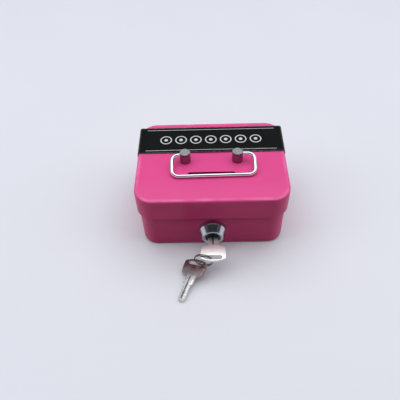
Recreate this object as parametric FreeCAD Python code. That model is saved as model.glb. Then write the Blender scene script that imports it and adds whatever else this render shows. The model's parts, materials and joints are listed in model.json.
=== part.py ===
import FreeCAD
import Part
import math
import os

# A small steel cash box: a tub with a hinged, slotted lid, a wire bail, a wafer lock and two keys on a ring.
# Frame: X to the right, Y to the back, Z up. The origin is the centre of the tub's underside. Millimetres.

# Tub and lid
sheet = 0.8
box_height = 58.4
lid_width = 125.0
lid_depth = 93.0
lid_height = 21.5
lid_corner_radius = 15.0
lid_top_round = 1.8
lid_gap = 1.3
rim_overlap = 10.6
rim_hem = 4.0
base_bottom_round = 2.5

# Coin slot
slot_length = 39.0
slot_width = 3.5
slot_y = -16.4

# Handle posts and what holds them
post_spacing = 43.4
post_y = -1.2
post_diameter = 9.1
post_height = 9.8
post_edge = 0.5
post_screw_diameter = 3.0
post_screw_reach = 4.0
post_screw_head_diameter = 5.6
post_screw_head_height = 2.0
post_washer_diameter = 8.0
post_washer_thickness = 0.6
thread_clearance = 0.05

# Wire bail
bail_wire = 3.0
bail_width = 68.0
bail_reach = 19.8
bail_axis_height = 7.0
bail_corner_radius = 5.5
bail_end_depth = 4.6
bail_end_gap = 0.4
bail_hole_clearance = 0.5
bail_rest_gap = 0.2
bail_shift = 1.5
bail_skew = 0.8

# Card band over the lid
card = 0.5
card_gap = 0.1
band_front_y = 8.0
band_depth = 32.5
band_drop = 14.0

# Hinges on the back
hinge_spacing = 64.0
hinge_length = 26.0
hinge_outer_knuckle = 7.6
hinge_knuckle_gap = 0.3
hinge_knuckle_radius = 2.0
hinge_pin_radius = 1.1
hinge_pin_clearance = 0.05
hinge_pin_head_radius = 1.7
hinge_pin_head = 0.5
hinge_wall_gap = 0.3
hinge_edge_gap = 0.2
hinge_leaf_gap = 0.4
hinge_leaf_height = 11.0
hinge_leaf_corner = 2.5
base_leaf_sheet = 1.0
lid_leaf_sheet = 0.8
rivet_spacing = 15.0
rivet_radius = 1.2
rivet_head_radius = 2.2
rivet_head_height = 0.9
rivet_tail_radius = 1.9
rivet_tail_height = 0.5
rivet_tail_round = 0.25

# Lock housing, its washer and its nut
lock_z = 20.5
bezel_base_radius = 11.6
bezel_rim = 3.2
bezel_front_radius = 8.4
bezel_length = 10.0
bezel_edge_round = 0.6
recess_radius = 6.8
recess_depth = 0.8
barrel_radius = 8.5
barrel_flat = 7.7
barrel_length = 10.0
barrel_clearance = 0.1
lock_washer_radius = 11.5
lock_washer_thickness = 0.6
lock_nut_flats = 21.0
lock_nut_thickness = 3.0
lock_nut_sides = 6

# Plug and wafers
plug_head_radius = 6.2
plug_head_depth = 1.6
plug_radius = 5.6
plug_clearance = 0.05
plug_head_clearance = 0.1
plug_end_gap = 0.2
plug_tail_side = 6.0
keyway_clearance = 0.15
wafer_count = 5
wafer_thickness = 1.0
wafer_pitch = 2.2
wafer_height = 6.0
wafer_inset = 0.1
wafer_clearance = 0.1
wafer_window_clearance = 0.3
wafer_travel = 0.8

# Cam and its fixing
cam_thickness = 1.8
cam_width = 8.0
cam_hole_clearance = 0.05
cam_washer_radius = 4.2
cam_washer_thickness = 0.6
cam_screw_radius = 1.5
cam_screw_head_radius = 3.0
cam_screw_head_height = 2.0
cam_screw_slot = 0.8
cam_screw_slot_depth = 1.0
cam_screw_reach = 3.0

# Catch under the lid
catch_sheet = 1.0
catch_width = 7.5
catch_side_gap = 0.6
catch_cam_gap = 1.0
catch_lip_gap = 0.6
catch_lip_overhang = 0.6
catch_flange = 9.0
catch_bend = 1.6

# Keys
key_thickness = 1.9
key_blade_length = 14.4
key_blade_width = 5.8
key_tip_width = 3.6
key_tip_taper = 2.4
key_tip_round = 1.2
key_shoulder_width = 8.0
key_neck_length = 7.4
key_neck_width = 9.6
key_neck_round = 1.0
key_flare_length = 1.8
key_bow_near_width = 19.4
key_flank_length = 5.2
key_flank_round = 5.6
key_bow_width = 21.0
key_side_length = 6.0
key_crown = 4.4
key_crown_radius = 20.0
key_near_corner = 2.4
key_far_corner = 1.6
key_slot_length = 13.6
key_slot_width = 3.2
key_slot_setback = 1.0
key_groove_width = 1.5
key_groove_depth = 0.5
key_edge = 0.3
key_stop_gap = 0.1

# Split ring and the hanging key
ring_radius = 7.4
ring_radial = 0.9
ring_axial = 1.7
ring_groove = 0.15
ring_corner = 0.25
ring_seat_gap = 0.25
ring_offset = 0.65
ring_turn = 11.5
spare_yaw = 22.3
spare_pitch = 9.5
spare_roll = 17.7
spare_slide = 0.2
spare_seat_gap = 0.2

# Worked out from the sizes above
lid_bottom = box_height - lid_height
lid_under = box_height - sheet
base_width = lid_width - 2 * (sheet + lid_gap)
base_depth = lid_depth - 2 * (sheet + lid_gap)
base_corner_radius = lid_corner_radius - sheet - lid_gap
base_height = lid_bottom + rim_overlap
hem_low = base_height - rim_hem
hem_sheet = 2 * sheet
post_radius = post_diameter / 2
post_screw_hole_radius = post_screw_diameter / 2 + thread_clearance
wire_radius = bail_wire / 2
bail_axis_z = box_height + bail_axis_height
bail_hole_radius = wire_radius + bail_hole_clearance
hinge_y = base_depth / 2 + hinge_wall_gap + hinge_knuckle_radius
hinge_z = lid_bottom - hinge_edge_gap - hinge_knuckle_radius
wall_y = -base_depth / 2
wall_inner_y = wall_y + sheet
bezel_front_y = wall_y - bezel_length
plug_face_y = bezel_front_y + recess_depth
plug_head_end_y = plug_face_y + plug_head_depth
barrel_end_y = wall_y + barrel_length
plug_end_y = barrel_end_y + plug_end_gap
cam_end_y = plug_end_y + cam_thickness
cam_washer_end_y = cam_end_y + cam_washer_thickness
cam_screw_end_y = plug_end_y - cam_screw_reach
key_shoulder_y = plug_face_y - key_stop_gap
key_tip_y = key_shoulder_y + key_blade_length
wafer_first_y = plug_head_end_y + wafer_pitch / 2
catch_left_x = barrel_radius + catch_side_gap
cam_length = catch_left_x + catch_width
catch_front_y = plug_end_y - catch_cam_gap - catch_sheet
catch_lip_z = lock_z - cam_width / 2 - catch_lip_gap - catch_sheet

SIDES = {"left": -1, "right": 1}
OVER = 1.0  # how far a cutting tool runs past the face it opens
NEAR = 1e-4  # how close two heights are to count as the same
ARC_SHARE = 0.98  # the most of a straight run that the arcs at its two ends may take


def vec(x, y, z):
    return FreeCAD.Vector(x, y, z)


X_AXIS = vec(1, 0, 0)
Y_AXIS = vec(0, 1, 0)
Z_AXIS = vec(0, 0, 1)
ORIGIN = vec(0, 0, 0)


def unit(direction):
    return direction * (1.0 / direction.Length)


def box(x_range, y_range, z_range):
    low = vec(x_range[0], y_range[0], z_range[0])
    return Part.makeBox(x_range[1] - x_range[0], y_range[1] - y_range[0], z_range[1] - z_range[0], low)


def rod(radius, start, end):
    return Part.makeCylinder(radius, (end - start).Length, start, unit(end - start))


def one_solid(shape):
    return shape.removeSplitter().Solids[0]


def rounded_path(points, radii, closed):
    """Straight runs through the points, with an arc at each corner that its two runs leave room for."""
    count = len(points)
    corners = range(count) if closed else range(1, count - 1)
    back = {i: unit(points[i - 1] - points[i]) for i in corners}
    ahead = {i: unit(points[(i + 1) % count] - points[i]) for i in corners}
    half = {i: back[i].getAngle(ahead[i]) / 2 for i in corners}
    setback = {i: radii[i] / math.tan(half[i]) for i in corners}
    runs = range(count) if closed else range(count - 1)
    for i in runs:
        j = (i + 1) % count
        room = ARC_SHARE * (points[j] - points[i]).Length
        wanted = setback.get(i, 0) + setback.get(j, 0)
        if wanted > room:
            for k in (i, j):
                if k in setback:
                    setback[k] *= room / wanted
    enter, leave, arcs = list(points), list(points), {}
    for i in corners:
        if setback[i] > 0:
            enter[i] = points[i] + back[i] * setback[i]
            leave[i] = points[i] + ahead[i] * setback[i]
            radius = setback[i] * math.tan(half[i])
            middle = points[i] + unit(back[i] + ahead[i]) * (radius / math.sin(half[i]) - radius)
            arcs[i] = Part.Arc(enter[i], middle, leave[i]).toShape()
    edges = []
    for i in range(count):
        if i in arcs:
            edges.append(arcs[i])
        if i in runs:
            edges.append(Part.makeLine(leave[i], enter[(i + 1) % count]))
    return Part.Wire(edges)


def plate(points, radii, depth):
    """A flat outline with rounded corners, drawn out along depth."""
    return Part.Face(rounded_path(points, radii, True)).extrude(depth)


def corners_of(half_a, half_b):
    """The four corners of a rectangle about its centre, in order."""
    return ((-half_a, -half_b), (half_a, -half_b), (half_a, half_b), (-half_a, half_b))


def rounded_block(width, depth, corner, z_range):
    low, high = z_range
    points = [vec(x, y, low) for x, y in corners_of(width / 2, depth / 2)]
    return plate(points, [corner] * 4, vec(0, 0, high - low))


def round_level(shape, z, radius):
    """Fillets every edge that lies at height z."""
    edges = [e for e in shape.Edges if abs(e.BoundBox.ZMin - z) < NEAR and abs(e.BoundBox.ZMax - z) < NEAR]
    return shape.makeFillet(radius, edges)


def spun_about_y(profile, radii, z):
    """Turns a closed outline of (radius, y) points about a line along Y at height z."""
    loop = rounded_path([vec(r, y, 0) for r, y in profile], radii, True)
    solid = Part.Face(loop).revolve(ORIGIN, Y_AXIS, 360)
    solid.translate(vec(0, 0, z))
    return solid


def lock_rod(radius, y_range):
    return rod(radius, vec(0, y_range[0], lock_z), vec(0, y_range[1], lock_z))


def lock_box(half_x, y_range, half_z):
    return box((-half_x, half_x), y_range, (lock_z - half_z, lock_z + half_z))


def placed(shape, origin, x_direction, y_direction):
    """Carries a shape from its own axes to the given origin and directions."""
    a, b = unit(x_direction), unit(y_direction)
    c = a.cross(b)
    matrix = FreeCAD.Matrix(a.x, b.x, c.x, origin.x, a.y, b.y, c.y, origin.y, a.z, b.z, c.z, origin.z)
    moved = shape.copy()
    moved.Placement = FreeCAD.Placement(matrix)
    return moved


def rivet_places(hinge_x):
    return [hinge_x - rivet_spacing / 2, hinge_x + rivet_spacing / 2]


def hinge_centres():
    return {name: side * hinge_spacing / 2 for name, side in SIDES.items()}


def base_leaf_top():
    return hinge_z - hinge_knuckle_radius - hinge_leaf_gap


def lid_leaf_low():
    return lid_bottom + hinge_edge_gap


def base_rivet_z():
    return base_leaf_top() - hinge_leaf_height / 2


def lid_rivet_z():
    return lid_leaf_low() + hinge_leaf_height / 2


def all_rivet_x():
    return [x for centre in hinge_centres().values() for x in rivet_places(centre)]


def barrel(clearance, y_range):
    """The lock's round barrel with two flats, grown by a clearance."""
    flat = barrel_flat + clearance
    round_part = lock_rod(barrel_radius + clearance, y_range)
    return round_part.common(lock_box(flat, y_range, barrel_radius + clearance + OVER))


def cut_rivet_holes(shape, y_range, z, places):
    """Opens a rivet hole through a wall (y range) at each x place."""
    for x in places:
        shape = shape.cut(rod(rivet_radius, vec(x, y_range[0] - OVER, z), vec(x, y_range[1] + OVER, z)))
    return shape


def make_base_shell():
    outer = rounded_block(base_width, base_depth, base_corner_radius, (0, base_height))
    outer = round_level(outer, 0, base_bottom_round)
    inner_width, inner_depth = base_width - 2 * sheet, base_depth - 2 * sheet
    inside = rounded_block(inner_width, inner_depth, base_corner_radius - sheet, (sheet, hem_low))
    inside = round_level(inside, sheet, base_bottom_round - sheet)
    mouth_width, mouth_depth = base_width - 2 * hem_sheet, base_depth - 2 * hem_sheet
    mouth_corner = base_corner_radius - hem_sheet
    mouth = rounded_block(mouth_width, mouth_depth, mouth_corner, (hem_low - OVER, base_height + OVER))
    shell = outer.cut(inside).cut(mouth)
    shell = shell.cut(barrel(barrel_clearance, (wall_y - OVER, wall_inner_y + OVER)))
    back_wall = (base_depth / 2 - sheet, base_depth / 2)
    return one_solid(cut_rivet_holes(shell, back_wall, base_rivet_z(), all_rivet_x()))


def make_lid_shell():
    outer = rounded_block(lid_width, lid_depth, lid_corner_radius, (lid_bottom, box_height))
    outer = round_level(outer, box_height, lid_top_round)
    inner_width, inner_depth = lid_width - 2 * sheet, lid_depth - 2 * sheet
    inner_corner = lid_corner_radius - sheet
    inside = rounded_block(inner_width, inner_depth, inner_corner, (lid_bottom - OVER, lid_under))
    inside = round_level(inside, lid_under, lid_top_round - sheet)
    shell = outer.cut(inside)
    low = lid_under - OVER
    slot_points = [vec(x, slot_y + y, low) for x, y in corners_of(slot_length / 2, slot_width / 2)]
    shell = shell.cut(plate(slot_points, [slot_width / 2] * 4, vec(0, 0, sheet + 2 * OVER)))
    for side in SIDES.values():
        x = side * post_spacing / 2
        shell = shell.cut(rod(post_screw_hole_radius, vec(x, post_y, low), vec(x, post_y, box_height + OVER)))
    back_wall = (lid_depth / 2 - sheet, lid_depth / 2)
    return one_solid(cut_rivet_holes(shell, back_wall, lid_rivet_z(), all_rivet_x()))


def make_handle_post(side):
    x = side * post_spacing / 2
    post = rod(post_radius, vec(x, post_y, box_height), vec(x, post_y, box_height + post_height))
    top_edges = [e for e in post.Edges if e.BoundBox.ZMin > box_height + post_height - NEAR]
    post = post.makeChamfer(post_edge, top_edges)
    outer_x = x + side * (post_radius + OVER)
    hole_depth = bail_end_depth + abs(bail_shift) + bail_end_gap
    hole_end = vec(x + side * (post_radius - hole_depth), post_y, bail_axis_z)
    post = post.cut(rod(bail_hole_radius, hole_end, vec(outer_x, post_y, bail_axis_z)))
    screw_hole_top = box_height + post_screw_reach + thread_clearance
    hole_low = vec(x, post_y, box_height - OVER)
    return one_solid(post.cut(rod(post_screw_hole_radius, hole_low, vec(x, post_y, screw_hole_top))))


def make_post_washers():
    washers = []
    low = lid_under - post_washer_thickness
    for side in SIDES.values():
        x = side * post_spacing / 2
        washer = rod(post_washer_diameter / 2, vec(x, post_y, low), vec(x, post_y, lid_under))
        hole = rod(post_screw_hole_radius, vec(x, post_y, low - OVER), vec(x, post_y, lid_under + OVER))
        washers.append(one_solid(washer.cut(hole)))
    return Part.makeCompound(washers)


def make_post_screws():
    screws = []
    head_top = lid_under - post_washer_thickness
    head_low = head_top - post_screw_head_height
    for side in SIDES.values():
        x = side * post_spacing / 2
        head = rod(post_screw_head_diameter / 2, vec(x, post_y, head_low), vec(x, post_y, head_top))
        head = head.makeFillet(post_edge, [e for e in head.Edges if e.BoundBox.ZMax < head_low + NEAR])
        shank_top = box_height + post_screw_reach
        shank = rod(post_screw_diameter / 2, vec(x, post_y, head_top), vec(x, post_y, shank_top))
        screws.append(one_solid(head.fuse(shank)))
    return Part.makeCompound(screws)


def bail_rest_angle():
    return math.degrees(math.asin((bail_axis_height - wire_radius - bail_rest_gap) / bail_reach))


def make_handle_bail():
    half = bail_width / 2
    end = post_spacing / 2 + post_radius - bail_end_depth
    path_points = [
        vec(-end, 0, 0), vec(-half, 0, 0), vec(-half, -bail_reach, 0),
        vec(half, -bail_reach, 0), vec(half, 0, 0), vec(end, 0, 0),
    ]
    path = rounded_path(path_points, [bail_corner_radius] * len(path_points), False)
    section = Part.Wire(Part.makeCircle(wire_radius, path_points[0], X_AXIS))
    bail = path.makePipeShell([section], True, False)
    bail.rotate(ORIGIN, X_AXIS, bail_rest_angle())
    bail.rotate(ORIGIN, Z_AXIS, bail_skew)
    bail.translate(vec(bail_shift, post_y, bail_axis_z))
    return bail


def make_label_band():
    inner_x, outer_x = lid_width / 2 + card_gap, lid_width / 2 + card_gap + card
    top, low = box_height + card, box_height - band_drop
    fold = lid_top_round
    corners = [
        (-outer_x, low, 0), (-outer_x, top, fold + card), (outer_x, top, fold + card), (outer_x, low, 0),
        (inner_x, low, 0), (inner_x, box_height, fold), (-inner_x, box_height, fold), (-inner_x, low, 0),
    ]
    points = [vec(x, band_front_y, z) for x, z, _ in corners]
    return plate(points, [radius for _, _, radius in corners], vec(0, band_depth, 0))


def hinge_rod(radius, x_range):
    return rod(radius, vec(x_range[0], hinge_y, hinge_z), vec(x_range[1], hinge_y, hinge_z))


def hinge_leaf(hinge_x, wall, z_range, round_low, knuckles):
    """A plate on a wall face (y range), with necks and knuckles on the hinge line over the x ranges."""
    half = hinge_length / 2
    low, high = z_range
    middle_z = (low + high) / 2
    corners = corners_of(half, hinge_leaf_height / 2)
    points = [vec(hinge_x + x, wall[0], middle_z + z) for x, z in corners]
    low_round, high_round = (hinge_leaf_corner, 0) if round_low else (0, hinge_leaf_corner)
    leaf = plate(points, [low_round, low_round, high_round, high_round], vec(0, wall[1] - wall[0], 0))
    join = (high - OVER, hinge_z) if round_low else (hinge_z, low + OVER)
    for start, end in knuckles:
        x_range = (hinge_x + start, hinge_x + end)
        leaf = leaf.fuse(box(x_range, wall, join))
        leaf = leaf.fuse(hinge_rod(hinge_knuckle_radius, x_range))
    bore_range = (hinge_x - half - OVER, hinge_x + half + OVER)
    return leaf.cut(hinge_rod(hinge_pin_radius + hinge_pin_clearance, bore_range))


def make_base_leaf(hinge_x):
    half = hinge_length / 2
    knuckles = [(-half, -half + hinge_outer_knuckle), (half - hinge_outer_knuckle, half)]
    wall = (base_depth / 2, base_depth / 2 + base_leaf_sheet)
    z_range = (base_leaf_top() - hinge_leaf_height, base_leaf_top())
    leaf = hinge_leaf(hinge_x, wall, z_range, True, knuckles)
    return one_solid(cut_rivet_holes(leaf, wall, base_rivet_z(), rivet_places(hinge_x)))


def make_lid_leaf(hinge_x):
    inner_half = hinge_length / 2 - hinge_outer_knuckle - hinge_knuckle_gap
    wall = (lid_depth / 2, lid_depth / 2 + lid_leaf_sheet)
    z_range = (lid_leaf_low(), lid_leaf_low() + hinge_leaf_height)
    leaf = hinge_leaf(hinge_x, wall, z_range, False, [(-inner_half, inner_half)])
    return one_solid(cut_rivet_holes(leaf, wall, lid_rivet_z(), rivet_places(hinge_x)))


def make_hinge_pin(hinge_x):
    half = hinge_length / 2
    pin = hinge_rod(hinge_pin_radius, (hinge_x - half, hinge_x + half))
    for side in SIDES.values():
        face_x = hinge_x + side * half
        pin = pin.fuse(hinge_rod(hinge_pin_head_radius, (face_x, face_x + side * hinge_pin_head)))
    return one_solid(pin)


def rivets(inner_y, outer_y, z):
    """Rivets along Y with a domed head outside and a flat tail inside, at every hinge place."""
    tail_end, head_end = inner_y - rivet_tail_height, outer_y + rivet_head_height
    profile = [
        (0, tail_end), (rivet_tail_radius, tail_end), (rivet_tail_radius, inner_y), (rivet_radius, inner_y),
        (rivet_radius, outer_y), (rivet_head_radius, outer_y), (rivet_head_radius, head_end), (0, head_end),
    ]
    radii = [0, rivet_tail_round, 0, 0, 0, 0, rivet_head_height, 0]
    rivet = spun_about_y(profile, radii, z)
    group = []
    for x in all_rivet_x():
        one = rivet.copy()
        one.translate(vec(x, 0, 0))
        group.append(one)
    return Part.makeCompound(group)


def make_base_hinge_rivets():
    return rivets(base_depth / 2 - sheet, base_depth / 2 + base_leaf_sheet, base_rivet_z())


def make_lid_hinge_rivets():
    return rivets(lid_depth / 2 - sheet, lid_depth / 2 + lid_leaf_sheet, lid_rivet_z())


def wafer_y_ranges(clearance):
    ranges = []
    for i in range(wafer_count):
        start = wafer_first_y + i * wafer_pitch - clearance
        ranges.append((start, start + wafer_thickness + 2 * clearance))
    return ranges


def make_lock_housing():
    profile = [
        (0, wall_y), (bezel_base_radius, wall_y), (bezel_base_radius, wall_y - bezel_rim),
        (bezel_front_radius, bezel_front_y), (0, bezel_front_y),
    ]
    housing = spun_about_y(profile, [0, 0, bezel_edge_round, bezel_edge_round, 0], lock_z)
    housing = housing.fuse(barrel(0, (wall_y, barrel_end_y)))
    housing = housing.cut(lock_rod(recess_radius, (bezel_front_y - OVER, plug_face_y)))
    head_end = plug_head_end_y + plug_clearance
    housing = housing.cut(lock_rod(plug_head_radius + plug_head_clearance, (plug_face_y - OVER, head_end)))
    housing = housing.cut(lock_rod(plug_radius + plug_clearance, (plug_face_y, barrel_end_y + OVER)))
    groove_half = wafer_height / 2 + 2 * wafer_clearance
    groove_reach = plug_radius - wafer_inset + wafer_travel + 2 * wafer_clearance
    ranges = wafer_y_ranges(2 * wafer_clearance)
    groove_y = (ranges[0][0], ranges[-1][1])
    housing = housing.cut(lock_box(groove_reach, groove_y, groove_half))
    housing = housing.cut(lock_box(groove_half, groove_y, groove_reach))
    return one_solid(housing)


def make_lock_washer():
    y_range = (wall_inner_y, wall_inner_y + lock_washer_thickness)
    washer = lock_rod(lock_washer_radius, y_range)
    return one_solid(washer.cut(barrel(barrel_clearance, (y_range[0] - OVER, y_range[1] + OVER))))


def make_lock_nut():
    start = wall_inner_y + lock_washer_thickness
    half_side = math.pi / lock_nut_sides
    corner = lock_nut_flats / 2 / math.cos(half_side)
    turns = [half_side * (2 * i + 1) for i in range(lock_nut_sides)]
    points = [vec(corner * math.cos(t), start, lock_z + corner * math.sin(t)) for t in turns]
    nut = plate(points, [0] * lock_nut_sides, vec(0, lock_nut_thickness, 0))
    bore = lock_rod(barrel_radius + thread_clearance, (start - OVER, start + lock_nut_thickness + OVER))
    return one_solid(nut.cut(bore))


def make_lock_plug():
    plug = lock_rod(plug_head_radius, (plug_face_y, plug_head_end_y))
    plug = plug.fuse(lock_rod(plug_radius, (plug_face_y, plug_end_y)))
    plug = plug.fuse(lock_box(plug_tail_side / 2, (plug_end_y - OVER, cam_end_y), plug_tail_side / 2))
    keyway_end = key_tip_y + keyway_clearance
    half_x = key_blade_width / 2 + keyway_clearance
    half_z = key_thickness / 2 + keyway_clearance
    plug = plug.cut(lock_box(half_x, (plug_face_y - OVER, keyway_end), half_z))
    for y_range in wafer_y_ranges(wafer_clearance):
        plug = plug.cut(lock_box(plug_radius + OVER, y_range, wafer_height / 2 + wafer_clearance))
    screw_hole_y = (cam_screw_end_y - thread_clearance, cam_end_y + OVER)
    return one_solid(plug.cut(lock_rod(cam_screw_radius + thread_clearance, screw_hole_y)))


def make_lock_wafers():
    wafers = []
    window_low = -(key_blade_width / 2 + wafer_window_clearance + wafer_travel)
    window_high = key_blade_width / 2 + wafer_window_clearance
    window_half = key_thickness / 2 + wafer_window_clearance
    for y_range in wafer_y_ranges(0):
        wafer = lock_rod(plug_radius - wafer_inset, y_range)
        wafer = wafer.common(lock_box(plug_radius, y_range, wafer_height / 2))
        cut_y = (y_range[0] - OVER, y_range[1] + OVER)
        window = box((window_low, window_high), cut_y, (lock_z - window_half, lock_z + window_half))
        wafers.append(one_solid(wafer.cut(window)))
    return Part.makeCompound(wafers)


def make_lock_cam():
    half = cam_width / 2
    middle_z = lock_z + (cam_length - half) / 2
    corners = corners_of(half, (cam_length + half) / 2)
    points = [vec(x, plug_end_y, middle_z + z) for x, z in corners]
    cam = plate(points, [half] * 4, vec(0, cam_thickness, 0))
    hole = plug_tail_side / 2 + cam_hole_clearance
    return one_solid(cam.cut(lock_box(hole, (plug_end_y - OVER, cam_end_y + OVER), hole)))


def make_cam_washer():
    washer = lock_rod(cam_washer_radius, (cam_end_y, cam_washer_end_y))
    hole = lock_rod(cam_screw_radius + thread_clearance, (cam_end_y - OVER, cam_washer_end_y + OVER))
    return one_solid(washer.cut(hole))


def make_cam_screw():
    head_end = cam_washer_end_y + cam_screw_head_height
    head = lock_rod(cam_screw_head_radius, (cam_washer_end_y, head_end))
    slot_y = (head_end - cam_screw_slot_depth, head_end + OVER)
    slot = lock_box(cam_screw_head_radius + OVER, slot_y, cam_screw_slot / 2)
    shank = lock_rod(cam_screw_radius, (cam_screw_end_y, cam_washer_end_y))
    return one_solid(head.cut(slot).fuse(shank))


def make_lid_catch():
    front, back = catch_front_y, catch_front_y + catch_flange
    lip_end = cam_end_y + catch_lip_overhang
    inner = catch_front_y + catch_sheet
    inner_bend = catch_bend - catch_sheet
    corners = [
        (front, lid_under, catch_bend), (back, lid_under, 0), (back, lid_under - catch_sheet, 0),
        (inner, lid_under - catch_sheet, inner_bend), (inner, catch_lip_z + catch_sheet, inner_bend),
        (lip_end, catch_lip_z + catch_sheet, 0), (lip_end, catch_lip_z, 0), (front, catch_lip_z, catch_bend),
    ]
    points = [vec(catch_left_x, y, z) for y, z, _ in corners]
    return plate(points, [radius for _, _, radius in corners], vec(catch_width, 0, 0))


def key_stations():
    """Distances from the tip to the shoulder, the neck, and the bow's near, widest and far corners."""
    shoulder = key_blade_length
    neck = shoulder + key_neck_length
    near = neck + key_flare_length
    widest = near + key_flank_length
    return shoulder, neck, near, widest, widest + key_side_length


def key_slot_centre():
    return key_stations()[4] - key_slot_setback


def key_margin_centre():
    """Middle of the strip between the slot's end and the bow's side, across the key."""
    return (key_slot_length + key_bow_width) / 4


def make_key():
    """A key lying in the XY plane, tip at the origin, blade along X, width along Y."""
    shoulder, neck, near, widest, far = key_stations()
    side = [
        (0, key_tip_width / 2, key_tip_round), (key_tip_taper, key_blade_width / 2, key_tip_taper),
        (shoulder, key_blade_width / 2, 0), (shoulder, key_shoulder_width / 2, key_edge),
        (neck, key_neck_width / 2, key_neck_round), (near, key_bow_near_width / 2, key_near_corner),
        (widest, key_bow_width / 2, key_flank_round), (far, key_bow_width / 2, key_far_corner),
    ]
    outline = [(u, -v, r) for u, v, r in side] + [(far + key_crown, 0, key_crown_radius)]
    outline += [(u, v, r) for u, v, r in reversed(side)]
    low = -key_thickness / 2
    key = plate([vec(u, v, low) for u, v, _ in outline], [r for _, _, r in outline], vec(0, 0, key_thickness))
    flat_edges = [e for e in key.Edges if e.BoundBox.ZLength < NEAR and e.BoundBox.XMin > neck]
    key = key.makeChamfer(key_edge, flat_edges)
    corners = corners_of(key_slot_width / 2, key_slot_length / 2)
    slot_points = [vec(key_slot_centre() + u, v, low - OVER) for u, v in corners]
    key = key.cut(plate(slot_points, [key_slot_width / 2] * 4, vec(0, 0, key_thickness + 2 * OVER)))
    groove_floor = key_thickness / 2 - key_groove_depth
    for z_range in ((groove_floor, key_thickness / 2 + OVER), (low - OVER, -groove_floor)):
        key = key.cut(box((-OVER, neck), (-key_groove_width / 2, key_groove_width / 2), z_range))
    return one_solid(key)


def make_lock_key():
    return placed(make_key(), vec(0, key_tip_y, lock_z), vec(0, -1, 0), X_AXIS)


def ring_frame():
    """Centre and level direction of the ring, which hangs from the left margin of the bow in the lock.

    The ring's middle line goes through the middle of that bow's slot.
    """
    turn = math.radians(ring_turn)
    along = vec(math.cos(turn), -math.sin(turn), 0)
    x = ring_offset - key_margin_centre()
    corner_offset = (key_bow_width / 2 + x) / along.x
    inner = ring_radius - ring_radial / 2 - ring_seat_gap
    z = lock_z + key_thickness / 2 - math.sqrt(inner**2 - corner_offset**2)
    crossing = math.sqrt(ring_radius**2 - (lock_z - z) ** 2)
    slot_y_in_lock = key_tip_y - key_slot_centre()
    return vec(x, slot_y_in_lock - crossing * along.y, z), along


def make_key_ring():
    half_r, half_a, notch = ring_radial / 2, ring_axial / 2, ring_groove
    profile = []
    for side, order in ((1, (-1, 1)), (-1, (1, -1))):
        edge = ring_radius + side * half_r
        profile += [
            (edge, order[0] * half_a, ring_corner), (edge, order[0] * notch, 0), (edge - side * notch, 0, 0),
            (edge, order[1] * notch, 0), (edge, order[1] * half_a, ring_corner),
        ]
    loop = rounded_path([vec(r, 0, a) for r, a, _ in profile], [c for _, _, c in profile], True)
    ring = Part.Face(loop).revolve(ORIGIN, Z_AXIS, 360)
    centre, along = ring_frame()
    return placed(ring, centre, along, Z_AXIS)


def spare_directions():
    """Unit vectors of the hanging key: from its tip to its bow, and across it towards its right."""
    yaw, pitch, roll = (math.radians(a) for a in (spare_yaw, spare_pitch, spare_roll))
    forward = vec(math.sin(yaw) * math.cos(pitch), math.cos(yaw) * math.cos(pitch), math.sin(pitch))
    level = vec(math.cos(yaw), -math.sin(yaw), 0)
    upward = level.cross(forward)
    return forward, level * math.cos(roll) + upward * math.sin(roll)


def make_spare_key():
    """The second key, its right margin hanging in the ring, and the ring through the middle of its slot."""
    forward, across = spare_directions()
    centre, along = ring_frame()
    ring_axis = along.cross(Z_AXIS)
    trace = unit(ring_axis.cross(forward.cross(across)))
    if trace.dot(across) < 0:
        trace = trace * -1
    away = trace.cross(ring_axis)
    if away.z > 0:
        away = away * -1
    margin_half = (key_bow_width - key_slot_length) / 4 / trace.dot(across)
    inner = ring_radius - ring_radial / 2 - spare_seat_gap
    depth = math.sqrt(inner**2 - (spare_slide + margin_half) ** 2) - key_thickness / 2
    crossing = -math.sqrt(ring_radius**2 - depth**2)
    in_slot = centre + away * depth + trace * crossing
    across_key = key_margin_centre() + (crossing - spare_slide) * trace.dot(across)
    tip = in_slot - forward * key_slot_centre() - across * across_key
    return placed(make_key(), tip, forward, across)


nodes = {
    "base_shell": make_base_shell(),
    "lid_shell": make_lid_shell(),
    "label_band": make_label_band(),
    "post_washers": make_post_washers(),
    "post_screws": make_post_screws(),
    "handle_bail": make_handle_bail(),
    "base_hinge_rivets": make_base_hinge_rivets(),
    "lid_hinge_rivets": make_lid_hinge_rivets(),
    "lock_housing": make_lock_housing(),
    "lock_washer": make_lock_washer(),
    "lock_nut": make_lock_nut(),
    "lock_plug": make_lock_plug(),
    "lock_wafers": make_lock_wafers(),
    "lock_cam": make_lock_cam(),
    "cam_washer": make_cam_washer(),
    "cam_screw": make_cam_screw(),
    "lid_catch": make_lid_catch(),
    "lock_key": make_lock_key(),
    "key_ring": make_key_ring(),
    "spare_key": make_spare_key(),
}
for name, side in SIDES.items():
    nodes[name + "_handle_post"] = make_handle_post(side)
for name, centre_x in hinge_centres().items():
    nodes[name + "_hinge_base_leaf"] = make_base_leaf(centre_x)
    nodes[name + "_hinge_lid_leaf"] = make_lid_leaf(centre_x)
    nodes[name + "_hinge_pin"] = make_hinge_pin(centre_x)

os.makedirs("parts", exist_ok=True)
for name, shape in nodes.items():
    shape.exportStep(os.path.join("parts", name + ".step"))
    print(name, "solids", len(shape.Solids), "valid", shape.isValid(), "volume", round(shape.Volume, 2))
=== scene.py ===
import json
import math

import bmesh
import bpy
from bpy.props import FloatProperty, FloatVectorProperty, IntProperty, PointerProperty
from bpy.types import Operator, Panel, PropertyGroup
from mathutils import Matrix, Vector


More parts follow.
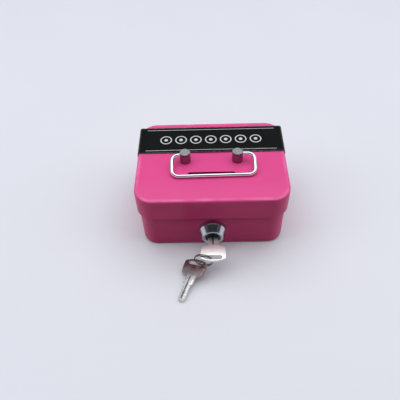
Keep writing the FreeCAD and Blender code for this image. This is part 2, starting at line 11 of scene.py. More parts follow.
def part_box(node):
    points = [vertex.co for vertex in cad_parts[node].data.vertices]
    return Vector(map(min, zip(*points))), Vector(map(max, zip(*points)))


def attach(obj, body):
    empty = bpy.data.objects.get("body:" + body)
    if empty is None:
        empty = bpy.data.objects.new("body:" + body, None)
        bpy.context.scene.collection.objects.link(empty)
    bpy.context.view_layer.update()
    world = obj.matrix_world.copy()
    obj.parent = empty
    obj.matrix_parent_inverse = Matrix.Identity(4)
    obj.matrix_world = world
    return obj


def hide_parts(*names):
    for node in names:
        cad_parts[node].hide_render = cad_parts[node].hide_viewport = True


bl_info = {
    "name": "Cash box",
    "version": (1, 0, 0),
    "blender": (4, 5, 0),
    "location": "View3D > Sidebar > Cash box",
    "description": "Dresses a small steel cash box with its paint, chrome, card band, lock and keys",
    "category": "Object",
}

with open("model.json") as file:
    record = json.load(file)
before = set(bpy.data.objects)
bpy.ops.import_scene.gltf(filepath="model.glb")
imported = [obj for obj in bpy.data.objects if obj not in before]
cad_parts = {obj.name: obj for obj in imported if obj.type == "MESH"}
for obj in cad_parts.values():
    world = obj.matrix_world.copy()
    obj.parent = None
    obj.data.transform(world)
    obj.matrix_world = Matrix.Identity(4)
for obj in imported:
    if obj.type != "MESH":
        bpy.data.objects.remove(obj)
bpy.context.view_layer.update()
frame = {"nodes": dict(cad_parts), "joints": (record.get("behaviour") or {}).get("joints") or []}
MM = 0.001
FULL_TURN = math.tau
QUARTER = math.pi / 2
TOUCH = MM / 100
MERGE = 0.002 * MM
JOINTS = {joint["name"]: joint for joint in frame["joints"]}


def middle(name):
    """Middle of a node's box."""
    low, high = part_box(name)
    return (low + high) / 2


def extent(name):
    """Size of a node's box."""
    low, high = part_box(name)
    return high - low


LOCK_Z = JOINTS["lock_turn"]["pos_m"][2]
WALL_Y = -extent("base_shell").y / 2
POST_SPACING = middle("right_handle_post").x - middle("left_handle_post").x


def length(name, description, default):
    """A distance in metres that a user may change."""
    return FloatProperty(name=name, description=description, default=default, unit="LENGTH", precision=5)


def angle(name, description, degrees):
    return FloatProperty(name=name, description=description, default=math.radians(degrees), subtype="ANGLE")


def colour(name, description, default):
    return FloatVectorProperty(
        name=name, description=description, default=default, subtype="COLOR", size=3, min=0, max=1
    )


def point(name, description, default):
    return FloatVectorProperty(
        name=name, description=description, default=default, subtype="TRANSLATION", unit="LENGTH"
    )


def number(name, description, default):
    return FloatProperty(name=name, description=description, default=default)


def count(name, description, default, least):
    return IntProperty(name=name, description=description, default=default, min=least)


class ShellSettings(PropertyGroup):
    """Pressed steel of the tub and the lid."""

    sheet: length("Sheet", "Thickness of the steel", 0.8 * MM)
    lid_corner: length("Lid corner", "Radius of the lid's upright corners", 15 * MM)
    tub_corner: length("Tub corner", "Radius of the tub's upright corners", 12.9 * MM)
    bend: length("Bend", "Outer radius where the tub's walls turn into the floor", 2.5 * MM)
    lid_bend: length("Lid bend", "Outer radius where the lid's top turns into the skirt", 1.8 * MM)
    # Over the thin band the paint is paled towards the bend: worn thin paint and a painted highlight.
    thin_band: length("Thin band", "Strip of the lid's top where the paint thins towards the bend", 2.2 * MM)
    cut_edge: length("Cut edge", "Rounding of the lid's lower edge", 0.38 * MM)
    # This band is a painted shadow: a dark band on the tub's walls just under the lid's skirt.
    skirt_shadow: length("Rub", "Width of the dull line that the skirt leaves on the tub", 1.5 * MM)
    hem: length("Hem", "Height of the folded rim of the tub", 4 * MM)
    slot_length: length("Slot length", "Length of the coin slot", 39 * MM)
    slot_width: length("Slot width", "Width of the coin slot", 3.5 * MM)
    slot_y: length("Slot place", "Distance of the coin slot from the middle", -16.4 * MM)
    slot_edge: length("Slot edge", "Rounding of the coin slot's edges", 0.25 * MM)
    corner_steps: count("Corner steps", "Faces round one corner", 16, 4)
    bend_steps: count("Bend steps", "Faces across the outside of a bend", 8, 2)
    inner_steps: count("Inner steps", "Faces across the inside of a bend", 6, 2)
    rim_steps: count("Rim steps", "Faces over the tub's folded rim", 10, 2)
    hem_steps: count("Hem steps", "Faces round the end of the fold", 4, 2)
    edge_steps: count("Edge steps", "Faces across a rounded cut edge", 3, 1)
    paint: colour("Paint", "Colour of the enamel", (0.730, 0.070, 0.262))


class CardSettings(PropertyGroup):
    """Black card band over the back of the lid."""

    card: length("Card", "Thickness of the card", 0.5 * MM)
    lift: length("Lift", "How far the front edge stands off the lid", 1.0 * MM)
    lift_reach: length("Lift reach", "How far behind the front edge the card meets the lid", 9 * MM)
    fold_steps: count("Fold steps", "Faces round each fold", 8, 2)
    rows: count("Rows", "Faces from the front edge to the back edge", 26, 4)
    top_cuts: count("Top cuts", "Cuts across the part that lies on the lid", 40, 4)
    flap_cuts: count("Flap cuts", "Cuts across each side flap", 16, 2)
    ink: colour("Ink", "Colour of the printed ground", (0.006, 0.007, 0.0075))
    pale_ink: colour("Pale ink", "Colour of the rules and rings", (0.62, 0.62, 0.61))


class HandleSettings(PropertyGroup):
    """Wire bail between the posts."""

    wire: length("Wire", "Diameter of the wire", 3 * MM)
    width: length("Width", "Distance between the two arms' middle lines", 68 * MM)
    reach: length("Reach", "Distance from the pivot to the grip's middle line", 19.8 * MM)
    corner: length("Corner", "Radius of the bends", 5.5 * MM)
    end_depth: length("End depth", "How far each end goes into its post", 4.6 * MM)
    rest_gap: length("Rest gap", "Gap under the resting grip", 0.2 * MM)
    shift: length("Shift", "How far the bail sits to the right", 1.5 * MM)
    skew: angle("Skew", "Turn of the resting bail seen from above", 0.8)
    wire_sides: count("Wire sides", "Faces round the wire", 28, 8)
    bend_steps: count("Bend steps", "Faces along one bend", 14, 4)


class LockSettings(PropertyGroup):
    """Conical bezel and barrel of the lock."""

    base_radius: length("Base radius", "Radius of the bezel at the wall", 11.6 * MM)
    rim: length("Rim", "Height of the straight rim at the wall", 3.2 * MM)
    front_radius: length("Front radius", "Radius of the bezel's front", 8.4 * MM)
    bezel_length: length("Bezel length", "How far the bezel stands out", 10 * MM)
    edge: length("Edge", "Rounding of the bezel's edges", 0.6 * MM)
    recess_radius: length("Recess radius", "Radius of the dish in the front", 6.8 * MM)
    recess_depth: length("Recess depth", "Depth of the dish in the front", 0.8 * MM)
    seat_radius: length("Seat radius", "Radius of the seat for the plug's head", 6.3 * MM)
    seat_depth: length("Seat depth", "Depth of the seat behind the dish", 1.65 * MM)
    bore_radius: length("Bore radius", "Radius of the bore for the plug", 5.65 * MM)
    groove_half: length("Groove half", "Half the width of the grooves that the wafers spring into", 3.2 * MM)
    groove_reach: length("Groove reach", "Distance of the grooves' floors from the lock's axis", 6.5 * MM)
    groove_gap: length("Groove gap", "Free length of the grooves before and behind the wafers", 0.2 * MM)
    barrel_radius: length("Barrel radius", "Radius of the barrel's body under its thread", 8.1 * MM)
    thread_radius: length("Thread radius", "Outer radius of the thread", 8.5 * MM)
    thread_pitch: length("Thread pitch", "Distance from crest to crest", 1.0 * MM)
    flat: length("Flat", "Distance of the barrel's flats from its axis", 7.7 * MM)
    barrel_length: length("Barrel length", "How far the barrel goes into the tub", 10 * MM)
    turn_steps: count("Turn steps", "Faces round the lock", 96, 24)
    edge_steps: count("Edge steps", "Faces across the bezel's rounded edges", 5, 2)


class KeySettings(PropertyGroup):
    """The two flat keys."""

    thickness: length("Thickness", "Thickness of a key", 1.9 * MM)
    blade_length: length("Blade length", "From the tip to the shoulder", 14.4 * MM)
    blade_width: length("Blade width", "Width of the blade", 5.8 * MM)
    tip_width: length("Tip width", "Width of the blade at its tip", 3.6 * MM)
    tip_taper: length("Tip taper", "Length of the tapered tip", 2.4 * MM)
    tip_round: length("Tip round", "Rounding of the tip's corners", 1.2 * MM)
    shoulder_width: length("Shoulder width", "Width across the shoulder", 8 * MM)
    neck_length: length("Neck length", "From the shoulder to the flare", 7.4 * MM)
    neck_width: length("Neck width", "Width at the flare's start", 9.6 * MM)
    neck_round: length("Neck round", "Rounding at the flare's start", 1 * MM)
    flare_length: length("Flare length", "Length of the flare", 1.8 * MM)
    near_width: length("Near width", "Width of the bow at its near corners", 19.4 * MM)
    near_round: length("Near round", "Rounding of the bow's near corners", 2.4 * MM)
    flank_length: length("Flank length", "From the near corners to the widest point", 5.2 * MM)
    bow_width: length("Bow width", "Greatest width of the bow", 21 * MM)
    side_length: length("Side length", "Length of the bow's straight sides", 6 * MM)
    far_round: length("Far round", "Rounding of the bow's far corners", 1.6 * MM)
    crown: length("Crown", "Height of the bow's curved end", 4.4 * MM)
    crown_round: length("Crown round", "Radius of the bow's curved end", 20 * MM)
    slot_length: length("Slot length", "Length of the slot in the bow", 13.6 * MM)
    slot_width: length("Slot width", "Width of the slot in the bow", 3.2 * MM)
    slot_setback: length("Slot setback", "From the bow's far corners back to the slot's middle", 1 * MM)
    edge: length("Edge", "Rounding of all edges", 0.36 * MM)
    corner_steps: count("Corner steps", "Faces round one corner of the outline", 6, 2)
    slot_steps: count("Slot steps", "Faces round one corner of the slot", 8, 2)
    edge_steps: count("Edge steps", "Faces across a rounded edge", 3, 1)
    groove_width: length("Groove width", "Width of the milled groove", 1.5 * MM)
    groove_depth: length("Groove depth", "Depth of the milled groove", 0.5 * MM)
    groove_start: length("Groove start", "From the tip to the groove", 1.6 * MM)
    spare_yaw: angle("Spare yaw", "Heading of the hanging key", 22.3)
    spare_pitch: angle("Spare pitch", "Rise of the hanging key from tip to bow", 9.5)
    spare_roll: angle("Spare roll", "Lean of the hanging key", 17.7)


class RingSettings(PropertyGroup):
    """Split ring of flat wire, wound twice."""

    radius: length("Radius", "Radius of the wire's middle line", 7.4 * MM)
    radial: length("Radial", "Width of the wire across the ring", 0.9 * MM)
    axial: length("Axial", "Thickness of one turn of the wire", 0.8 * MM)
    turn_gap: length("Turn gap", "Distance between the two turns' middle lines", 0.85 * MM)
    edge: length("Edge", "Rounding of the wire", 0.2 * MM)
    step_turn: angle("Step turn", "Part of the turn in which the wire steps over itself", 40)
    end_gap: angle("End gap", "Part of each turn that the wire leaves free at its end", 8)
    edge_steps: count("Edge steps", "Faces round one corner of the wire", 3, 1)
    turn_steps: count("Turn steps", "Faces along one level turn", 72, 24)
    cross_steps: count("Cross steps", "Faces along the part that steps over", 12, 4)


class StageSettings(PropertyGroup):
    """Camera, lamps, floor and dark sheet."""

    camera_place: point("Camera place", "Where the camera stands", (-0.0024, -0.2743, 0.3271))
    camera_pitch: angle("Camera pitch", "How far the camera looks down", 49.48)
    camera_yaw: angle("Camera yaw", "How far the camera turns to the left", 1.78)
    camera_roll: angle("Camera roll", "How far the camera leans", -2.44)
    lens: number("Lens", "Focal length in millimetres", 41.0)
    floor_size: length("Floor size", "Width of the floor", 6.0)
    floor_colour: colour("Floor colour", "Colour of the floor", (0.728, 0.733, 0.788))
    floor_bounce: colour("Floor bounce", "Colour of the floor for scattered light", (0.30, 0.205, 0.155))
    fade_start: length("Fade start", "Distance at which the floor begins to turn pale", 0.45)
    fade_end: length("Fade end", "Distance at which the floor has turned into the horizon", 1.6)
    softbox_place: point("Softbox place", "Where the large lamp hangs", (0.0, 0.4, 1.8))
    softbox_width: length("Softbox width", "Width of the large lamp", 2.9)
    softbox_depth: length("Softbox depth", "Depth of the large lamp", 2.3)
    softbox_power: number("Softbox power", "Power of the large lamp in watts", 38.0)
    card_place: point("Card place", "Where the right reflector stands", (1.3, -0.15, 0.8))
    card_width: length("Card width", "Width of each reflector", 1.0)
    card_height: length("Card height", "Height of each reflector", 0.8)
    card_power: number("Card power", "Power of each reflector in watts", 4.5)
    sky: colour("Sky", "Colour of the light from all round", (0.80, 0.88, 1.0))
    sky_front: number("Sky front", "Strength of the light from the front", 0.10)
    sky_back: number("Sky back", "Strength of the light from behind", 0.45)
    back_start: number("Back start", "How far back the light begins to grow, as a sine", -0.1)
    back_end: number("Back end", "How far back the light is at its strongest, as a sine", 0.45)
    horizon_low: number("Horizon low", "Sine of the height where the pale horizon begins to fade", 0.25)
    horizon_high: number("Horizon high", "Sine of the height where the pale horizon ends", 0.45)
    flag_place: point("Flag place", "Where the dark sheet hangs", (-0.03, -0.28, 1.2))
    flag_width: length("Flag width", "Width of the dark sheet", 2.0)
    flag_depth: length("Flag depth", "Depth of the dark sheet", 0.5)
    flag_colour: colour("Flag colour", "Colour of the dark sheet", (0.02, 0.022, 0.03))


# Shader building blocks

def connect(tree, value, socket):
    """Links a socket to an input, or sets the input to a plain value."""
    if isinstance(value, bpy.types.NodeSocket):
        tree.links.new(value, socket)
    else:
        socket.default_value = value


def node(tree, kind, inputs=None, **settings):
    """Adds a node, sets its options and connects its inputs by name or number."""
    made = tree.nodes.new(kind)
    for name, value in settings.items():
        setattr(made, name, value)
    for name, value in (inputs or {}).items():
        connect(tree, value, made.inputs[name])
    return made


def math_node(tree, operation, *values):
    return node(tree, "ShaderNodeMath", dict(enumerate(values)), operation=operation).outputs[0]


def remap(tree, value, low, high, new_low=0.0, new_high=1.0):
    """Stretches the range from low to high onto a new one and stops at its ends."""
    inputs = {"Value": value, "From Min": low, "From Max": high, "To Min": new_low, "To Max": new_high}
    return node(tree, "ShaderNodeMapRange", inputs, clamp=True).outputs["Result"]


def blend_colours(tree, factor, first, second):
    """Mixes two colours. This node keeps its colours in inputs 6 and 7 and in output 2."""
    return node(tree, "ShaderNodeMix", {0: factor, 6: first, 7: second}, data_type="RGBA").outputs[2]


def rgba(tone):
    return (*tone, 1.0)


def object_place(tree):
    return node(tree, "ShaderNodeTexCoord").outputs["Object"]


def place_parts(tree):
    """X, Y and Z of the piece's own coordinates."""
    return node(tree, "ShaderNodeSeparateXYZ", {0: object_place(tree)}).outputs


def vector_node(tree, operation, *values):
    return node(tree, "ShaderNodeVectorMath", dict(enumerate(values)), operation=operation).outputs


def new_group(name, inputs, outputs):
    """An empty shader group with named sockets. Returns it with its input and output nodes."""
    tree = bpy.data.node_groups.new(name, "ShaderNodeTree")
    kinds = {"value": "NodeSocketFloat", "vector": "NodeSocketVector"}
    for socket, (kind, default) in inputs.items():
        made = tree.interface.new_socket(socket, in_out="INPUT", socket_type=kinds[kind])
        made.default_value = default
    for socket, kind in outputs.items():
        tree.interface.new_socket(socket, in_out="OUTPUT", socket_type=kinds[kind])
    return tree, tree.nodes.new("NodeGroupInput"), tree.nodes.new("NodeGroupOutput")


def grain_group():
    """Noise stretched along an axis, as a value between two limits and as a height."""
    tree, given, put = new_group(
        "grain",
        {"Stretch": ("vector", (1, 1, 1)), "Scale": ("value", 800.0), "Detail": ("value", 3.0),
         "Low": ("value", 0.0), "High": ("value", 1.0)},
        {"Value": "value", "Height": "value"},
    )
    place = vector_node(tree, "MULTIPLY", object_place(tree), given.outputs["Stretch"])[0]
    inputs = {"Vector": place, "Scale": given.outputs["Scale"], "Detail": given.outputs["Detail"]}
    height = node(tree, "ShaderNodeTexNoise", inputs).outputs["Fac"]
    darkest, palest = 0.3, 0.7
    value = remap(tree, height, darkest, palest, given.outputs["Low"], given.outputs["High"])
    connect(tree, value, put.inputs["Value"])
    connect(tree, height, put.inputs["Height"])
    return tree


def scratch_group():
    """Thin broken lines along one direction, as a mask."""
    tree, given, put = new_group(
        "scratches",
        {"Turn": ("vector", (0, 0, 0.4)), "Spacing": ("value", 900.0), "Amount": ("value", 0.3)},
        {"Mask": "value"},
    )
    inputs = {"Vector": object_place(tree), "Rotation": given.outputs["Turn"]}
    turned = node(tree, "ShaderNodeVectorRotate", inputs, rotation_type="EULER_XYZ").outputs[0]
    thin, patchy, lengthwise = (0.60, 0.72), (0.45, 0.65), (0.03, 1.0, 1.0)
    drawn_out = vector_node(tree, "MULTIPLY", turned, lengthwise)[0]
    inputs = {"Vector": drawn_out, "Scale": given.outputs["Spacing"], "Detail": 2.0}
    lines = node(tree, "ShaderNodeTexNoise", inputs).outputs["Fac"]
    patches = node(tree, "ShaderNodeTexNoise", {"Vector": turned, "Scale": 120.0}).outputs["Fac"]
    fine = remap(tree, lines, *thin)
    broken = remap(tree, patches, *patchy, 0.0, given.outputs["Amount"])
    connect(tree, math_node(tree, "MULTIPLY", fine, broken), put.inputs["Mask"])
    return tree


def edge_group():
    """Worn places along bends, also used as a painted highlight, from the piece's own attribute broken up by
    noise.
    """
    tree, given, put = new_group(
        "edge wear and highlight", {"Scale": ("value", 260.0), "Amount": ("value", 0.5)}, {"Mask": "value"}
    )
    edge = node(tree, "ShaderNodeAttribute", attribute_name="bend").outputs["Fac"]
    inputs = {"Vector": object_place(tree), "Scale": given.outputs["Scale"], "Detail": 6.0}
    spots = node(tree, "ShaderNodeTexNoise", inputs).outputs["Fac"]
    spotty, least = (0.40, 0.62), 0.25
    broken = remap(tree, spots, *spotty, least)
    wear_and_highlight = math_node(tree, "MULTIPLY", math_node(tree, "MULTIPLY", edge, broken), given.outputs["Amount"])
    connect(tree, wear_and_highlight, put.inputs["Mask"])
    return tree


def turned_group():
    """Fine rings round an axis along Y, as left by a lathe tool."""
    tree, given, put = new_group(
        "turned rings", {"Centre": ("vector", (0, 0, 0)), "Spacing": ("value", 9000.0)}, {"Height": "value"}
    )
    from_axis = vector_node(tree, "SUBTRACT", object_place(tree), given.outputs["Centre"])[0]
    flat = vector_node(tree, "MULTIPLY", from_axis, (1, 0, 1))[0]
    radius = vector_node(tree, "LENGTH", flat)["Value"]
    wave = math_node(tree, "SINE", math_node(tree, "MULTIPLY", radius, given.outputs["Spacing"]))
    connect(tree, remap(tree, wave, -1.0, 1.0), put.inputs["Height"])
    return tree


GROUP_MAKERS = {
    "grain": grain_group, "scratches": scratch_group, "edge wear and highlight": edge_group, "turned rings": turned_group,
}


def placed_group(tree, name, inputs):
    """Puts a shared group into a material, building it the first time it is wanted."""
    group = bpy.data.node_groups.get(name) or GROUP_MAKERS[name]()
    return node(tree, "ShaderNodeGroup", inputs, node_tree=group).outputs


def bump(tree, height, strength, distance):
    inputs = {"Height": height, "Strength": strength, "Distance": distance}
    return node(tree, "ShaderNodeBump", inputs).outputs["Normal"]


def new_material(name, **plain):
    """A material with one Principled shader, whose plain values are set on its own sockets."""
    material = bpy.data.materials.new(name)
    material.use_nodes = True
    shader = material.node_tree.nodes["Principled BSDF"]
    wire_up(material.node_tree, shader, **plain)
    return material, material.node_tree, shader


def wire_up(tree, shader, **inputs):
    """Connects the shader's sockets, whose spaces are written as underscores."""
    for socket, value in inputs.items():
        connect(tree, value, shader.inputs[socket.replace("_", " ")])


def reopened(material):
    """A finished material's tree, its shader and what colours it so far."""
    shader = material.node_tree.nodes["Principled BSDF"]
    return material.node_tree, shader, shader.inputs["Base Color"].links[0].from_socket


def paint_material(settings, name="pink_enamel"):
    """Baked enamel: a little orange peel, paler along the bends where it is worn thin and where a highlight
    is painted.
    """
    material, tree, shader = new_material(name, Coat_Roughness=0.09, Coat_IOR=1.5, Specular_IOR_Level=0.08)
    peel = placed_group(tree, "grain", {"Scale": 260.0, "Detail": 2.0, "Low": 0.34, "High": 0.44})
    cloud = placed_group(tree, "grain", {"Scale": 22.0})
    wear_and_highlight = placed_group(tree, "edge wear and highlight", {"Scale": 70.0, "Amount": 0.56})
    full = Vector(settings.paint)
    shaded, bright = full * 0.965, full * 1.03
    # Paler paint where the bend mask is set: worn thin paint, and on the lid's bend and cut edge a painted
    # highlight.
    thin = full * 0.55 + Vector((0.42, 0.20, 0.30))
    coat, worn_coat = 0.22, 0.10
    deep = blend_colours(tree, cloud["Value"], rgba(shaded), rgba(bright))
    wire_up(
        tree, shader, Base_Color=blend_colours(tree, wear_and_highlight["Mask"], deep, rgba(thin)), Roughness=peel["Value"],
        Coat_Weight=remap(tree, wear_and_highlight["Mask"], 0.0, 1.0, coat, worn_coat),
        Normal=bump(tree, peel["Height"], strength=0.10, distance=0.10 * MM),
    )
    return material


def tub_material(settings):
    """The same enamel with a painted shadow: a dark band on the walls just under the lid's skirt."""
    material = paint_material(settings, "enamel_with_painted_shadow")
    tree, shader, clean = reopened(material)
    height = place_parts(tree)["Z"]
    skirt_low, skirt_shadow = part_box("lid_shell")[0].z, settings.skirt_shadow
    # Painted shadow: the band just under the skirt's lower edge is darkened in patches.
    below = remap(tree, height, skirt_low - skirt_shadow, skirt_low - skirt_shadow / 3)
    above = remap(tree, height, skirt_low + skirt_shadow, skirt_low + 2 * skirt_shadow, 1.0, 0.0)
    patches = placed_group(tree, "grain", {"Scale": 160.0, "Stretch": (1, 1, 0.2), "Low": 0.55, "High": 0.9})
    line = math_node(tree, "MULTIPLY", math_node(tree, "MULTIPLY", below, above), patches["Value"])
    dark = rgba(Vector(settings.paint) * 0.42)
    wire_up(tree, shader, Base_Color=blend_colours(tree, line, clean, dark))
    return material


# Metals: tone, least and greatest roughness, amount of scratches, and share of the tone in dull patches
METALS = {
    "polished_chrome": ((0.86, 0.86, 0.88), 0.05, 0.11, 0.15, 0.92),
    "cast_chrome": ((0.60, 0.61, 0.65), 0.09, 0.17, 0.30, 0.92),
    # Posts: the dark pinkish tone is a painted reflection of the shaded lid.
    "post_chrome_painted_reflection": ((0.26, 0.20, 0.22), 0.08, 0.16, 0.15, 0.92),
    "satin_nickel": ((0.86, 0.84, 0.82), 0.30, 0.36, 0.15, 0.92),
    "nickel_with_painted_bow": ((0.97, 0.95, 0.91), 0.16, 0.26, 0.30, 0.92),
    "spring_steel": ((0.33, 0.32, 0.31), 0.18, 0.30, 0.30, 0.92),
    "zinc_plate": ((0.66, 0.67, 0.68), 0.28, 0.46, 0.50, 0.80),
    "stamped_brass": ((0.78, 0.60, 0.28), 0.25, 0.40, 0.40, 0.92),
}


def metal_material(name, turn=(0, 0, 0.4)):
    """Bare or plated metal with a cloudy polish and hairline scratches along one direction."""
    tone, smooth, rough, scratch, dulling = METALS[name]
    material, tree, shader = new_material(name, Metallic=1.0)
    polish = placed_group(tree, "grain", {"Scale": 420.0, "Low": smooth, "High": rough})
    lines = placed_group(tree, "scratches", {"Turn": turn, "Amount": scratch})
    shade = placed_group(tree, "grain", {"Scale": 90.0})
    dull, scratch_rough = tuple(part * dulling for part in tone), 0.25
    scratched = math_node(tree, "MULTIPLY", lines["Mask"], scratch_rough)
    wire_up(
        tree, shader, Base_Color=blend_colours(tree, shade["Value"], rgba(dull), rgba(tone)),
        Roughness=math_node(tree, "ADD", polish["Value"], scratched),
        Normal=bump(tree, lines["Mask"], strength=0.05, distance=0.01 * MM),
    )
    return material


def post_material():
    """Chrome with its sides darkened and tinted pink as a painted reflection of the shaded lid, and its top
    left dull and grainy.
    """
    material = metal_material("post_chrome_painted_reflection")
    tree, shader, chrome = reopened(material)
    polish = shader.inputs["Roughness"].links[0].from_socket
    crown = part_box("left_handle_post")[1].z
    dull_start, dull_full = crown - 0.12 * MM, crown - 0.04 * MM
    dull_rough = 0.5
    top = remap(tree, place_parts(tree)["Z"], dull_start, dull_full)
    grain = placed_group(tree, "grain", {"Scale": 1500.0, "Detail": 4.0})
    dark_grey, pale_grey = rgba((0.18, 0.18, 0.18)), rgba((0.42, 0.42, 0.42))
    dull = blend_colours(tree, grain["Value"], dark_grey, pale_grey)
    rough = math_node(tree, "MAXIMUM", polish, math_node(tree, "MULTIPLY", top, dull_rough))
    wire_up(tree, shader, Base_Color=blend_colours(tree, top, chrome, dull), Roughness=rough)
    return material


def key_material(name):
    """Nickel plate, coloured darker in the milled groove; an attribute marks the groove."""
    material = metal_material(name, turn=(0, 0, 1.3))
    tree, shader, plain = reopened(material)
    groove = node(tree, "ShaderNodeAttribute", attribute_name="groove").outputs["Fac"]
    patches = placed_group(tree, "grain", {"Scale": 300.0, "Low": 0.7, "High": 0.95})
    groove_darkening = math_node(tree, "MULTIPLY", groove, patches["Value"])
    # The groove is coloured darker.
    groove_tone = rgba((0.16, 0.16, 0.14))
    wire_up(tree, shader, Base_Color=blend_colours(tree, groove_darkening, plain, groove_tone))
    return material


def bow_reflection_material(settings):
    """Nickel with a painted dark reflection on the bow; an attribute holds the distance from the tip."""
    material = key_material("nickel_with_painted_bow")
    tree, shader, plain = reopened(material)
    along = node(tree, "ShaderNodeAttribute", attribute_name="from_tip").outputs["Fac"]
    bow_start = settings.blade_length + settings.neck_length
    reflection_start, reflection_full = bow_start - settings.neck_length * 0.6, bow_start + settings.flare_length
    bow = remap(tree, along, reflection_start, reflection_full)
    cloud = placed_group(tree, "grain", {"Scale": 260.0, "Stretch": (1, 0.5, 1), "Low": 0.75})
    reflected_bow = math_node(tree, "MULTIPLY", bow, cloud["Value"])
    # Painted reflection: a dark reddish tone over the bow, standing for the box's dark front mirrored in it.
    painted_bow = rgba((0.24, 0.17, 0.175))
    wire_up(tree, shader, Base_Color=blend_colours(tree, reflected_bow, plain, painted_bow))
    return material


def plug_material():
    """Near-black die-cast metal, its darkness a painted shade of a deep dish, with the rings that a lathe
    tool leaves.
    """
    material, tree, shader = new_material("turned_metal_painted_shade", Metallic=1.0)
    polish = placed_group(tree, "grain", {"Scale": 500.0, "Low": 0.24, "High": 0.38})
    rings = placed_group(tree, "turned rings", {"Centre": (0.0, 0.0, LOCK_Z)})
    # Near-black tone: painted shade standing for the dark of a deep dish in the lock's front.
    dark, pale = rgba((0.03, 0.03, 0.033)), rgba((0.08, 0.08, 0.085))
    wire_up(
        tree, shader, Base_Color=blend_colours(tree, rings["Height"], dark, pale), Roughness=polish["Value"],
        Normal=bump(tree, rings["Height"], strength=0.3, distance=0.03 * MM),
    )
    return material


def inside(tree, value, centre, half, soft):
    """A mask that is 1 where a value lies within half of centre."""
    away = math_node(tree, "ABSOLUTE", math_node(tree, "SUBTRACT", value, centre))
    return remap(tree, away, half - soft, half + soft, 1.0, 0.0)


def card_print(tree, settings):
    """A mask of two rules and a row of plain rings on the card's top."""
    low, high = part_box("label_band")
    place = place_parts(tree)
    soft = 0.08 * MM
    rule_half, rule_inset, rule_end = 0.22 * MM, 3.2 * MM, 56 * MM
    ring_pitch, ring_radius, ring_half, row_end = 13 * MM, 4.6 * MM, 0.45 * MM, 46 * MM
    dot_radius = ring_radius * 0.34
    print_start, print_full = high.z - 2 * settings.card, high.z - 1.2 * settings.card
    lines = [inside(tree, place["Y"], y, rule_half, soft) for y in (low.y + rule_inset, high.y - rule_inset)]
    rules = math_node(tree, "MAXIMUM", *lines)
    rules = math_node(tree, "MULTIPLY", rules, inside(tree, place["X"], 0.0, rule_end, soft))
    across = math_node(tree, "WRAP", math_node(tree, "ADD", place["X"], ring_pitch / 2), ring_pitch, 0.0)
    across = math_node(tree, "SUBTRACT", across, ring_pitch / 2)
    along = math_node(tree, "SUBTRACT", place["Y"], (low.y + high.y) / 2)
    squares = [math_node(tree, "MULTIPLY", part, part) for part in (across, along)]
    radius = math_node(tree, "SQRT", math_node(tree, "ADD", *squares))
    rings = inside(tree, radius, ring_radius, ring_half, soft)
    row = math_node(tree, "MAXIMUM", rings, inside(tree, radius, 0.0, dot_radius, soft))
    row = math_node(tree, "MULTIPLY", row, inside(tree, place["X"], 0.0, row_end, soft))
    top = remap(tree, place["Z"], print_start, print_full)
    return math_node(tree, "MULTIPLY", math_node(tree, "MAXIMUM", rules, row), top)


def card_material(settings):
    """Black printed card, rubbed on its face and down to the bare fibre at its edges, whose pale fibre is
    also a painted highlight along the cut edges.
    """
    material, tree, shader = new_material("printed_card", Specular_IOR_Level=0.03)
    fibre = placed_group(tree, "grain", {"Scale": 1400.0, "Detail": 5.0, "Low": 0.46, "High": 0.62})
    rubbed = placed_group(tree, "grain", {"Scale": 60.0, "Detail": 4.0, "High": 0.35})
    wear_and_highlight = placed_group(tree, "edge wear and highlight", {"Scale": 500.0, "Amount": 0.5})
    ink, bare_fibre_and_highlight = Vector(settings.ink), rgba((0.30, 0.30, 0.29))
    rubbed_ink = ink * 1.9
    ground = blend_colours(tree, rubbed["Value"], rgba(ink), rgba(rubbed_ink))
    # Pale fibre at the marked edges: wear, and a painted highlight along the cut edges.
    ground = blend_colours(tree, wear_and_highlight["Mask"], ground, bare_fibre_and_highlight)
    printed = blend_colours(tree, card_print(tree, settings), ground, rgba(settings.pale_ink))
    normal = bump(tree, fibre["Height"], strength=0.25, distance=0.05 * MM)
    wire_up(tree, shader, Base_Color=printed, Roughness=fibre["Value"], Normal=normal)
    return material


def shown_ray(tree):
    """1 for rays that show a surface directly, in a mirror or through glass, 0 for scattered light."""
    path = node(tree, "ShaderNodeLightPath").outputs
    mirrored = math_node(tree, "MAXIMUM", path["Is Glossy Ray"], path["Is Transmission Ray"])
    return math_node(tree, "MAXIMUM", path["Is Camera Ray"], mirrored)


def floor_material(settings):
    """Smooth pale sheet with a faint mottle, which fades into the horizon."""
    material, tree, shader = new_material("pale_floor", Specular_IOR_Level=0.2)
    mottle = placed_group(tree, "grain", {"Scale": 9.0, "Detail": 4.0})
    tone = Vector(settings.floor_colour)
    shaded, smooth, rough = tone * 0.985, 0.55, 0.7
    seen = blend_colours(tree, mottle["Value"], rgba(shaded), rgba(tone))
    shown = shown_ray(tree)
    far_off = vector_node(tree, "LENGTH", object_place(tree))["Value"]
    distant = remap(tree, far_off, settings.fade_start, settings.fade_end)
    fade = math_node(tree, "MULTIPLY", distant, shown)
    lit = blend_colours(tree, fade, seen, rgba((0, 0, 0)))
    wire_up(
        tree, shader, Base_Color=blend_colours(tree, shown, rgba(settings.floor_bounce), lit),
        Roughness=remap(tree, mottle["Height"], 0.0, 1.0, smooth, rough),
        Emission_Color=rgba(tone), Emission_Strength=fade,
    )
    return material


def shared_material(name, maker, *given):
    return bpy.data.materials.get(name) or maker(*given)


def metal(name):
    return shared_material(name, metal_material, name)


# Mesh building blocks

def verts_of(geometry):
    return [part for part in geometry if isinstance(part, bmesh.types.BMVert)]


def edges_of(geometry):
    return [part for part in geometry if isinstance(part, bmesh.types.BMEdge)]


def faces_of(geometry):
    return [part for part in geometry if isinstance(part, bmesh.types.BMFace)]


